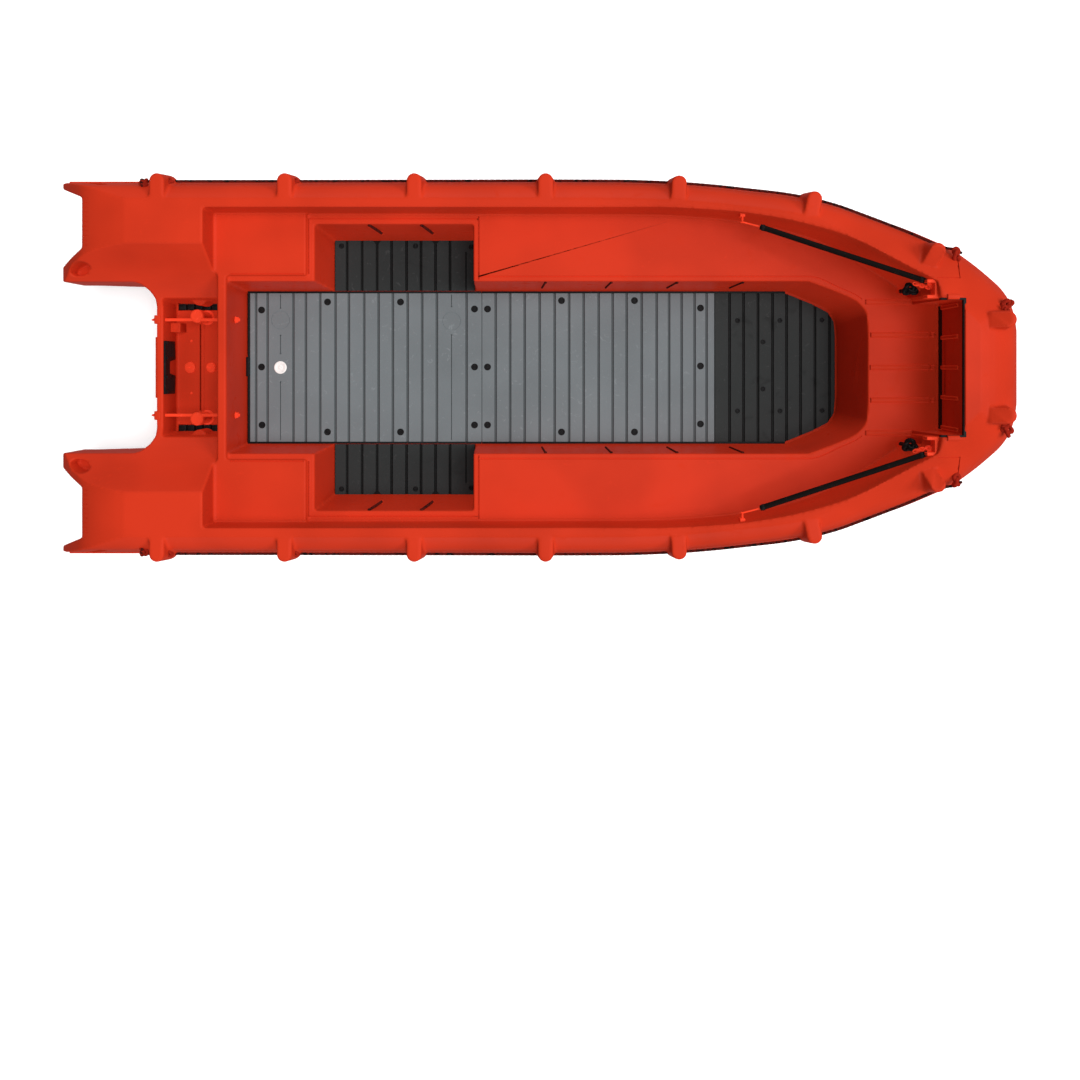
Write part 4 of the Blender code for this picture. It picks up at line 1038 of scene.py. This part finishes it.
class BOAT_OT_belt(bpy.types.Operator):
    """Wrap the rub strake round the hull and fit the keel skid and the towing bracket"""
    bl_idname = "boat.belt"
    bl_label = "Strake, skid and towing bracket"

    def execute(self, context):
        section = BELT + [(-z, out) for z, out in reversed(BELT)]
        port = np.array([[(max(x, BELT_AFT) + nx * out, y + ny * out, level(STRAKE, x) + z)
                          for z, out in section]
                         for (x, y), (nx, ny) in zip(*side_points(0.025))])
        strake = loft(np.concatenate([port, port[::-1] * (1, -1, 1)]))
        piece(store("rub_strake_moulding", strake), shell_finish(), "shell", ("rub_strake",),
              angle=50)

        screws = [turned(SKID_SCREW, (x, y, 0.0), sides=20)
                  for x in SKID_SCREW_X for y in SKID_SCREW_Y]
        skid = rounded(prism(SKID, -SKID_HALF, SKID_HALF, "y"), 0.006)
        piece(store("keel_skid_strip", skid, screws), rubber_finish(), "rubber", ("keel_skid",))

        x, z, radius = STEM_EYE
        cutters = [rod((x, -0.1, z), (x, 0.1, z), radius, 32)]
        cutters += [rounded(cube(STEM_SLOT_X, y, STEM_SLOT_Z), 0.004) for y in STEM_SLOT_Y]
        stem = rounded(prism(STEM_PROFILE, -STEM_HALF, STEM_HALF, "y"), 0.006)
        piece(store("towing_bracket", stem, cutters), shell_finish(), "shell", ("stem_bracket",))
        sleeve = turned(SLEEVE, (x, 0, z), (0, 1, 0), 40)
        piece(store("towing_eye_sleeve", sleeve), steel_finish(), "coated_rod")

        # Black rubber strips at the bulkhead foot and the niche's top edge: painted shade for the
        # shadow lines there, shaped as a seal.
        shade_seal = [rounded(cube(*SHADE_SEAL_FOOT), 0.003)]
        shade_seal += [rounded(prism(on_side(SHADE_SEAL_RIM, sign), *SHADE_SEAL_RIM_Z, "z"), 0.002)
                 for _, sign in SIDES]
        piece(store("bulkhead_seal_and_shade", joined(shade_seal)), rubber_finish(), "rubber")
        return {"FINISHED"}


# Floor panels


def planks(x0, x1, low, top, grooves):
    """(x, z) profile of a panel with rounded grooves across it."""
    sizes = bpy.context.scene.boat_sizes
    width, depth = sizes.groove_width, sizes.groove_depth
    half = [(width / 2 + PLANK_EDGE / 2, 0.0), (width / 2, PLANK_EDGE / 2),
            (width * 0.36, 0.8 * depth), (width * 0.22, depth)]
    run = [(x0, low), (x0, top - PLANK_EDGE), (x0 + PLANK_EDGE, top)]
    for x in grooves:
        run += [(x - out, top - drop) for out, drop in half]
        run += [(x + out, top - drop) for out, drop in reversed(half)]
    return run + [(x1 - PLANK_EDGE, top), (x1, top - PLANK_EDGE), (x1, low)]


def panel(name, x, y, top, grooves, cutters=()):
    """A ribbed panel between x and y limits, less its cutters."""
    run = planks(*x, FLOOR_Z + FIT, top, [across(px, top) for px in grooves])
    return store(name, prism(run, *y, "y"), cutters)


def screwed_down(obj, look, replaced, caps_name, spots, top, radius):
    """Seat screws in a panel and finish it; look holds its material and slot."""
    places = [(across(px, top), up(py, top)) for px, py in spots]
    seat = [(0, -0.006), (radius, -0.006), (radius, 0.01), (0, 0.01)]
    for x, y in places:
        combine(obj, turned(seat, (x, y, top), sides=28))
    piece(obj, *look, (replaced,), angle=25)
    caps = [turned(SCREW_CAP, (x, y, top - 0.0005), sides=24, scale=(radius - SCREW_AIR, 1.0))
            for x, y in places]
    piece(store(caps_name, joined(caps)), rubber_finish(), "rubber", angle=40)


class BOAT_OT_floor(bpy.types.Operator):
    """Lay the grooved floor panels and pocket mats with their screws, slits and drain"""
    bl_idname = "boat.floor"
    bl_label = "Floor panels"

    def execute(self, context):
        light = (light_panel_finish(), "panel_light")
        dark, deep = ((dark_panel_finish(top), "panel_dark") for top in (PANEL_TOP, MAT_TOP))
        cutters = []
        for px, rows in SLITS:
            x, ends = across(px, PANEL_TOP), [up(py, PANEL_TOP) for py in rows]
            cutters.append(cube((x - SLIT_HALF, x + SLIT_HALF), sorted(ends),
                                (PANEL_TOP - 0.005, ABOVE)))
            cutters += [rod((x, y, PANEL_TOP - 0.006), (x, y, ABOVE), SLIT_END_R, 16)
                        for y in ends if abs(y) < SLIT_END_Y]
        inner, outer = DISC_R
        ring = [(inner, -0.002), (outer, -0.002), (outer, 0.01), (inner, 0.01), (inner, -0.002)]
        cutters += [turned(ring, (across(px, PANEL_TOP), up(py, PANEL_TOP), PANEL_TOP), sides=48)
                    for px, py in DISCS]
        aft = panel("panel_aft", (PANEL_AFT_X + 0.014, PANEL_MID_X), TREAD, PANEL_TOP,
                    GROOVES_AFT, cutters)
        screwed_down(aft, light, "floor_panel_aft", "screws_aft", SCREWS_AFT, PANEL_TOP, SCREW_R)

        mid = panel("panel_mid", (PANEL_MID_X + PANEL_GAP, PANEL_BOW_X), TREAD, PANEL_TOP,
                    GROOVES_MID)
        screwed_down(mid, light, "floor_panel_mid", "screws_mid", SCREWS_MID, PANEL_TOP, SCREW_R)

        bow = panel("panel_bow", (PANEL_BOW_X + PANEL_GAP, PANEL_END_X), TREAD, PANEL_TOP,
                    GROOVES_BOW)
        combine(bow, prism(mirrored(PANEL_BOW), FLOOR_Z - 0.05, 0.35, "z"), "INTERSECT")
        screwed_down(bow, dark, "floor_panel_bow", "screws_bow", SCREWS_BOW, PANEL_TOP,
                     BOW_SCREW_R)

        for side, sign in SIDES:
            cutters = []
            for px in MAT_NOTCH_PX:
                notch = [(across(px, MAT_TOP) + dx, sign * y) for dx, y in MAT_NOTCH]
                cutters.append(prism(notch, MAT_TOP - 0.006, ABOVE, "z"))
            x = across(MAT_SLIT_PX, MAT_TOP)
            cutters.append(cube((x - MAT_SLIT_HALF, x + MAT_SLIT_HALF), span(sign, *MAT_SLIT_Y),
                                (MAT_TOP - 0.006, ABOVE)))
            mat = panel("mat_" + side, MAT_X, span(sign, *MAT_Y), MAT_TOP, GROOVES_MAT, cutters)
            spots = [(px, CENTRE_PY + sign * (CENTRE_PY - py)) for px, py in SCREWS_MAT]
            screwed_down(mat, deep, "pocket_mat_" + side, "screws_mat_" + side, spots, MAT_TOP,
                         MAT_SCREW_R)

        low = FLOOR_Z + FIT
        seals = [rounded(cube(x, span(sign, TREAD_HALF + 0.0005, PANEL_HALF), (low, SEAL_TOP)),
                         0.002)
                 for x in ((PANEL_AFT_X, PANEL_MID_X - PANEL_GAP),
                           (PANEL_MID_X + PANEL_GAP, SEAL_END_X)) for _, sign in SIDES]
        seals.append(rounded(cube((PANEL_AFT_X, PANEL_AFT_X + SEAL_AFT), TREAD,
                                  (low, SEAL_TOP + 0.003)), 0.002))
        seals.append(rounded(cube(*CLIP), 0.004))
        piece(store("panel_edge_seals", joined(seals)), rubber_finish(), "rubber")

        slot = rounded(cube(*DRAIN_SLOT), 0.0005)
        drain = turned(DRAIN, (DRAIN_X, 0, PANEL_TOP + FIT), sides=48, scale=(DRAIN_R, 1.0))
        piece(store("floor_drain_cap", drain, [slot]), white_finish(), "white_fitting",
              ("floor_drain",))
        return {"FINISHED"}


# Splash well


def bolt(centre, axis, radius, height):
    """Domed bolt head on a washer."""
    profile = [(0, -0.002), (1.5 * radius, -0.002), (1.5 * radius, 0.0012),
               (1.35 * radius, 0.002), (radius, 0.002), (radius, 0.5 * height),
               (0.85 * radius, 0.8 * height), (0.5 * radius, height), (0, height)]
    return turned(profile, centre, axis, 20)


class BOAT_OT_well(bpy.types.Operator):
    """Fit the splash well: tie rods, posts, plugs, outlet block and transom plates"""
    bl_idname = "boat.well"
    bl_label = "Splash well fittings"

    def execute(self, context):
        floor = WELL_Z + FIT
        for side, sign in SIDES:
            y = sign * ROD_Y
            aft, fore = ROD_X
            parts = [rod((aft, y, ROD_Z), (fore, y, ROD_Z), ROD_R)]
            parts += [turned(THREAD, (THREAD_X + THREAD_PITCH * k, y, ROD_Z), (1, 0, 0), 20)
                      for k in range(THREAD_TURNS)]
            parts.append(turned(ROD_TIP, (aft, y, ROD_Z), (-1, 0, 0), 24))
            nut = rod((NUT_X[0], y, ROD_Z), (NUT_X[1], y, ROD_Z), NUT_R, 6)
            parts.append(rounded(nut, 0.0012, 2))
            parts.append(turned(WASHER, (WASHER_X, y, ROD_Z), (1, 0, 0)))
            tie = store("tie_rod_set_" + side, joined(parts))
            piece(tie, rod_finish(), "coated_rod", ("tie_rod_" + side,), angle=30)

            profile = [(r * POST_R, h) for r, h in POST]
            profile += [(r * POST_HEAD_R, h) for r, h in POST_HEAD]
            profile += [(0.3 * POST_HEAD_R, POST_TOP - floor), (0, POST_TOP - floor)]
            post = turned(profile, (POST_X, sign * POST_Y, floor), sides=48)
            piece(store("post_" + side, post), rod_finish(), "shell", ("well_post_" + side,),
                  angle=30)

        half_long, half_wide, depth = PLUG_SLOT
        for name, x, radius, height in PLUGS:
            top = floor + height
            slot = rounded(cube((x - half_long, x + half_long), (-half_wide, half_wide),
                                (top - depth, top + 0.02)), 0.0008)
            plug = turned(PLUG, (x, 0, floor), sides=40, scale=(radius, height))
            piece(store(name + "_cap", plug, [slot]), rod_finish(), "shell", (name,))

        # Black rubber flaps in the well's end pits: they stand for the dark marks there, and are
        # painted shade that keeps the pits dark under the shadowless fill lamps.
        (aft, fore), (near, far), _ = WELL_PIT
        pitch = (fore - aft) / FLAPS
        flaps = [rounded(cube((low, low + pitch - FLAP_GAP),
                              span(sign, near + FLAP_GAP, far - FLAP_GAP),
                              (WELL_Z - 0.04, WELL_Z + 0.004)), 0.004)
                 for _, sign in SIDES for low in aft + FLAP_GAP + pitch * np.arange(FLAPS)]
        piece(store("pit_flaps_and_shade", joined(flaps)), rubber_finish(), "rubber")

        x, y, radius = OUTLET_HOLE
        top = OUTLET_BLOCK[2][1]
        hole = rod((x, y, top - 0.004), (x, y, top + 0.03), radius, 32)
        block = store("outlet_block", rounded(cube(*OUTLET_BLOCK), 0.006), [hole])
        piece(block, shell_finish(), "shell", ("well_outlet_block",))

        outer = store("outer_plate", rounded(cube(*OUTER_PLATE), 0.003))
        piece(outer, shell_finish(), "shell", ("transom_outer_plate",))
        off, half_long, half_wide, depth = CLAMP_GROOVE
        grooves = [cube((CLAMP_FACE - depth, TRANSOM_FORE + 0.02), (y - half_long, y + half_long),
                        (z - half_wide, z + half_wide))
                   for z in CLAMP_GROOVE_Z for y in (-off, off)]
        clamp = rounded(prism(CLAMP_PLATE, TRANSOM_FORE + FIT, CLAMP_FACE, "x"), 0.002, 2)
        piece(store("clamp_plate", clamp, grooves), rubber_finish(), "panel_dark",
              ("transom_clamp_plate",))
        bolts = [bolt((CLAMP_FACE, y, CLAMP_BOLT_Z), (1, 0, 0), *PLATE_BOLT)
                 for y in CLAMP_BOLT_Y]
        piece(store("clamp_bolts", joined(bolts)), rubber_finish(), "panel_dark")
        bolts = [bolt((OUTER_PLATE[0][0] - 0.0002, y, z), (-1, 0, 0), *PLATE_BOLT)
                 for y in PLATE_BOLT_Y for z in PLATE_BOLT_Z]
        bolts += [bolt((across(px, WELL_Z), up(py, WELL_Z), WELL_Z), (0, 0, 1), *FLOOR_BOLT)
                  for px, py in FLOOR_BOLTS]
        piece(store("well_bolts", joined(bolts)), rod_finish(), "coated_rod")
        return {"FINISHED"}


# Ropes, bars and chains


def frames(path):
    """Centres, sides and tops along a path, without twist."""
    path = [Vector(p) for p in path]
    side = None
    for i, centre in enumerate(path):
        along = (path[min(i + 1, len(path) - 1)] - path[max(i - 1, 0)]).normalized()
        if side is None:
            side = Vector((0, 0, 1)) if abs(along.z) < 0.9 else Vector((1, 0, 0))
        side = (side - along * side.dot(along)).normalized()
        yield centre, side, along.cross(side)


def braid(path, radius, step=0.0045, sides=14, lay=0.030, strands=4):
    """Braided rope whose two sets of strands cross over each other."""
    length = sum(math.dist(a, b) for a, b in zip(path, path[1:]))
    path = resampled(path, max(int(length / step), 8))
    rings = []
    for i, (centre, side, top) in enumerate(frames(path)):
        turn = 2 * math.pi * i * step / lay
        ring = []
        for k in range(sides):
            a = 2 * math.pi * k / sides
            high = max(math.cos(strands * a + turn), math.cos(strands * a - turn))
            r = radius * (0.88 + 0.12 * high)
            ring.append(centre + side * r * math.cos(a) + top * r * math.sin(a))
        rings.append(ring)
    return loft(rings)


def knot(centre, along, out, size, radius):
    """Overhand knot as one turn of a trefoil."""
    along, out = Vector(along).normalized(), Vector(out).normalized()
    side = along.cross(out)
    path = []
    for t in np.linspace(0.25, 2 * math.pi - 0.25, 60):
        u = (math.sin(t) + 2 * math.sin(2 * t)) / 3
        v = (math.cos(t) - 2 * math.cos(2 * t)) / 3
        w = -math.sin(3 * t) / 3
        path.append(tuple(Vector(centre) + size * (along * u * 1.25 + side * v + out * w * 1.1)))
    return braid(path, radius, step=0.003, sides=12, lay=0.02, strands=3)


def strut(points, radius):
    """Round bar bent through points."""
    turns = np.linspace(0, 2 * math.pi, 12, endpoint=False)
    return loft([[centre + radius * (math.cos(a) * side + math.sin(a) * top) for a in turns]
                 for centre, side, top in frames(points)])


def chain(start, end, count):
    """Links turned a quarter from each other between two points."""
    start, end = Vector(start), Vector(end)
    along = (end - start).normalized()
    links = []
    for k in range(count):
        share = (k + 0.5) / count
        centre = start.lerp(end, share) - Vector((0, 0, CHAIN_SAG * math.sin(math.pi * share)))
        side = along.cross(Vector((0, 0, 1))).normalized()
        if k % 2:
            side = along.cross(side)
        flat = along.cross(side)
        oval = [centre + along * LINK_LONG * math.cos(a) + side * LINK_WIDE * math.sin(a)
                for a in np.linspace(0, 2 * math.pi, 16, endpoint=False)]
        rings = []
        for i, at in enumerate(oval):
            rise = (oval[(i + 1) % len(oval)] - oval[i - 1]).normalized().cross(flat)
            rings.append([at + LINK_WIRE_R * (flat * math.cos(b) + rise * math.sin(b))
                          for b in np.linspace(0, 2 * math.pi, 8, endpoint=False)])
        links.append(loft(rings + rings[:1], capped=False))
    return joined(links)


class BOAT_OT_lines(bpy.types.Operator):
    """Reeve the braided grab lines through the studs and knot their ends"""
    bl_idname = "boat.lines"
    bl_label = "Grab lines"

    def execute(self, context):
        points, normals = side_points(0.02)
        keep = (points[:, 0] >= LINE_ENDS[0]) & (points[:, 0] <= LINE_ENDS[1])
        row = side_row(points[keep], normals[keep], GUNWALE_ROUND, LINE_SHARE, SHEER,
                       LINE_R + LINE_LIFT)
        path = LINE_AFT + [tuple(p) for p in row] + LINE_BOW
        for side, sign in SIDES:
            line = braid(smooth_run(on_side(path, sign), 0.01), LINE_R)
            piece(store("grab_rope_" + side, line), rope_finish(), "rope",
                  ("grab_line_" + side,), angle=70)
            knots = [knot(*on_side(lie, sign), size, ROPE_SHARE * size) for *lie, size in KNOTS]
            piece(store("line_knots_" + side, joined(knots)), knot_finish(), "rope", angle=70)
        return {"FINISHED"}


class BOAT_OT_bow(bpy.types.Operator):
    """Hang the hose-covered bars in the bow on their eyes, brackets and chains"""
    bl_idname = "boat.bow"
    bl_label = "Bow bars"

    def execute(self, context):
        for side, sign in SIDES:
            start, end, eye, strap_top = (
                Vector(p) for p in on_side([*BAR_ENDS, HOOK_EYE, STRAP_TOP], sign))
            along, length = (end - start).normalized(), (end - start).length
            margin = HOSE_END[-1][1]
            ribs = [(1.0 - HOSE_RIB_DEPTH * (k % 2),
                     margin + (length - 2 * margin) * k / HOSE_RIBS)
                    for k in range(1, HOSE_RIBS)]
            profile = HOSE_END + ribs + [(r, length - h) for r, h in reversed(HOSE_END)]
            bar = turned(profile, start, along, scale=(BAR_R, 1.0))
            piece(store("hose_bar_" + side, bar), hose_finish(), "hose", ("bow_bar_" + side,),
                  angle=45)
            clips = [turned(HOSE_CLIP, start.lerp(end, share), along, scale=(BAR_R, 1.0))
                     for share in HOSE_CLIPS]
            piece(store("hose_clips_" + side, joined(clips)), rubber_finish(), "rubber")

            plate = rounded(cube((eye.x - 0.014, eye.x + 0.014),
                                 span(sign, HOOK_EYE[1] + 0.010, HOOK_EYE[1] + 0.040),
                                 (eye.z - 0.030, eye.z + 0.020)), 0.004)
            ring = [eye + Vector((0, HOOK_EYE_R * math.cos(a), HOOK_EYE_R * math.sin(a)))
                    for a in np.linspace(0, 2 * math.pi, 20)]
            low = eye + Vector((0.004, -sign * 0.016, -0.006))
            hook = strut([low + Vector((-0.012, -sign * 0.002, 0.010)), low, low.lerp(start, 0.4),
                          low.lerp(start, 0.8), start + along * 0.012], HOOK_R)
            foot = store("bar_eye_" + side, joined([plate, strut(ring, HOOK_R), hook]))
            piece(foot, rod_finish(), "shell", ("bar_foot_" + side,))

            (x0, x1), (y0, y1), z = HEAD_PLATE
            back, low_arm, high_arm = x1 - 0.020, y0 + HEAD_THICK, y1 - HEAD_THICK
            outline = [(x0, y1), (x1, y1), (x1, y0), (x0, y0), (x0, low_arm), (back, low_arm),
                       (back, high_arm), (x0, high_arm)]
            bracket = rounded(prism(on_side(outline, sign), *z, "z"), 0.003)
            piece(store("bar_bracket_plate_" + side, bracket), rod_finish(), "shell",
                  ("bar_bracket_" + side,))
            pin = rod(end - along * PIN_BACK, (x1 - 0.004, sign * (y0 + y1) / 2, end.z), PIN_R,
                      20)
            piece(store("bar_pin_" + side, pin), rod_finish(), "coated_rod")

            links = chain(*on_side(CHAIN_ENDS, sign), CHAIN_LINKS)
            piece(store("bar_chain_" + side, links), rod_finish(), "coated_rod", angle=60)
            strap = [knot(strap_top, (1, 0, 0.2), (0, 0, 1), STRAP_KNOT, STRAP_ROPE_R),
                     rod(strap_top - Vector((0, 0, STRAP_LENGTH)), strap_top, STRAP_R, 16)]
            piece(store("bar_strap_" + side, joined(strap)), rubber_finish(), "rubber", angle=60)
        return {"FINISHED"}


class BOAT_OT_lashings(bpy.types.Operator):
    """Hang the lashing toggles on the pocket walls and along the trough"""
    bl_idname = "boat.lashings"
    bl_label = "Lashing toggles"

    def execute(self, context):
        parts, beads = [], []
        for _, sign in SIDES:
            for px in TOGGLE_PX:
                x = across(px, BENCH_Z)
                ends = [(x, *TOGGLE_TOP), (x + TOGGLE_LEAN, *TOGGLE_LOW)]
                top, low = (Vector(p) for p in on_side(ends, sign))
                parts.append(rod(top, low, TOGGLE_R, 14))
                parts.append(knob(top - Vector((0, 0, KNOB_SINK)), KNOB_R, axis=(0, -sign, 0.3)))
                beads.append(knob(low, HOOK_KNOB_R, axis=(0, -sign, 0.2)))
            for top_px, low_px in TROUGH_HOOKS:
                top, low = on_side([(across(top_px, BENCH_Z), *HOOK_TOP),
                                    (across(low_px, 0.45), *HOOK_LOW)], sign)
                parts.append(rod(top, low, TROUGH_HOOK_R, 12))
                parts.append(knob(top, HOOK_KNOB_R, axis=(0, -sign, 0.4)))
        piece(store("pocket_toggles", joined(parts)), rope_finish(), "rope", angle=60)
        piece(store("pocket_toggle_beads", joined(beads)), shell_finish(), "shell", angle=60)
        return {"FINISHED"}


# Stage


class BOAT_OT_stage(bpy.types.Operator):
    """Lay the pale floor, hang the soft lights and aim the camera from above"""
    bl_idname = "boat.stage"
    bl_label = "Stage, lights and camera"

    def execute(self, context):
        scene = context.scene
        bm = bmesh.new()
        bmesh.ops.create_grid(bm, x_segments=1, y_segments=1, size=STAGE_HALF)
        floor = store("floor", bm)
        mat = bpy.data.materials.new("Studio floor")
        mat.use_nodes = True
        shader = mat.node_tree.nodes["Principled BSDF"].inputs
        shader["Base Color"].default_value = (*scene.boat_colours.floor, 1.0)
        shader["Roughness"].default_value = 0.9
        shader["Specular IOR Level"].default_value = 0.2
        shader["Emission Color"].default_value = (1.0, 1.0, 1.0, 1.0)
        shader["Emission Strength"].default_value = 0.25
        floor.data.materials.append(mat)
        floor.visible_diffuse = floor.visible_glossy = False
        for name, way, strength, shaded in LAMPS:
            light = bpy.data.lights.new(name, "SUN")
            light.energy = strength
            light.angle = math.radians(LAMP_ANGLE)
            light.use_shadow = shaded
            lamp = bpy.data.objects.new(name, light)
            scene.collection.objects.link(lamp)
            lamp.rotation_euler = Vector(way).to_track_quat("-Z", "Y").to_euler()
        world = bpy.data.worlds.new("Studio")
        world.use_nodes = True
        tree = world.node_tree
        sky = tree.nodes["Background"].inputs
        sky["Color"].default_value = (1, 1, 1, 1)
        seen = node(tree, "LightPath", {}).outputs["Is Camera Ray"]
        tree.links.new(mapped(tree, seen, {"To Min": WORLD_LIGHT, "To Max": 1.0}), sky["Strength"])
        scene.world = world
        scene.view_settings.view_transform = "Standard"
        lens = bpy.data.cameras.new("camera")
        lens.sensor_width = 36.0
        lens.lens = 36.0 * FOCAL_PX / PHOTO_PX
        lens.shift_y = (CENTRE_PY - PHOTO_PX / 2) / PHOTO_PX
        camera = bpy.data.objects.new("camera", lens)
        camera.location = (CAMERA_X, 0.0, CAMERA_Z)
        scene.collection.objects.link(camera)
        scene.camera = camera
        return {"FINISHED"}


class BOAT_PT_pieces(bpy.types.Panel):
    """Lists the boat's pieces, sizes and colours in the sidebar"""
    bl_label = "Rescue boat"
    bl_idname = "BOAT_PT_pieces"
    bl_space_type = "VIEW_3D"
    bl_region_type = "UI"
    bl_category = "Boat"

    def draw(self, context):
        scene = context.scene
        for group in (scene.boat_sizes, scene.boat_colours):
            box = self.layout.box()
            for name in group.bl_rna.properties.keys():
                if name not in ("rna_type", "name"):
                    box.prop(group, name)
        for cls in OPERATORS:
            self.layout.operator(cls.bl_idname)


OPERATORS = (BOAT_OT_shell, BOAT_OT_belt, BOAT_OT_floor, BOAT_OT_well, BOAT_OT_lines,
             BOAT_OT_bow, BOAT_OT_lashings, BOAT_OT_stage)
CLASSES = (BoatSizes, BoatColours) + OPERATORS + (BOAT_PT_pieces,)


def register():
    for cls in CLASSES:
        bpy.utils.register_class(cls)
    bpy.types.Scene.boat_sizes = PointerProperty(type=BoatSizes)
    bpy.types.Scene.boat_colours = PointerProperty(type=BoatColours)


def unregister():
    del bpy.types.Scene.boat_colours
    del bpy.types.Scene.boat_sizes
    for cls in reversed(CLASSES):
        bpy.utils.unregister_class(cls)


def main():
    register()
    for cls in OPERATORS:
        group, name = cls.bl_idname.split(".")
        getattr(getattr(bpy.ops, group), name)()


if __name__ == "__main__":
    main()
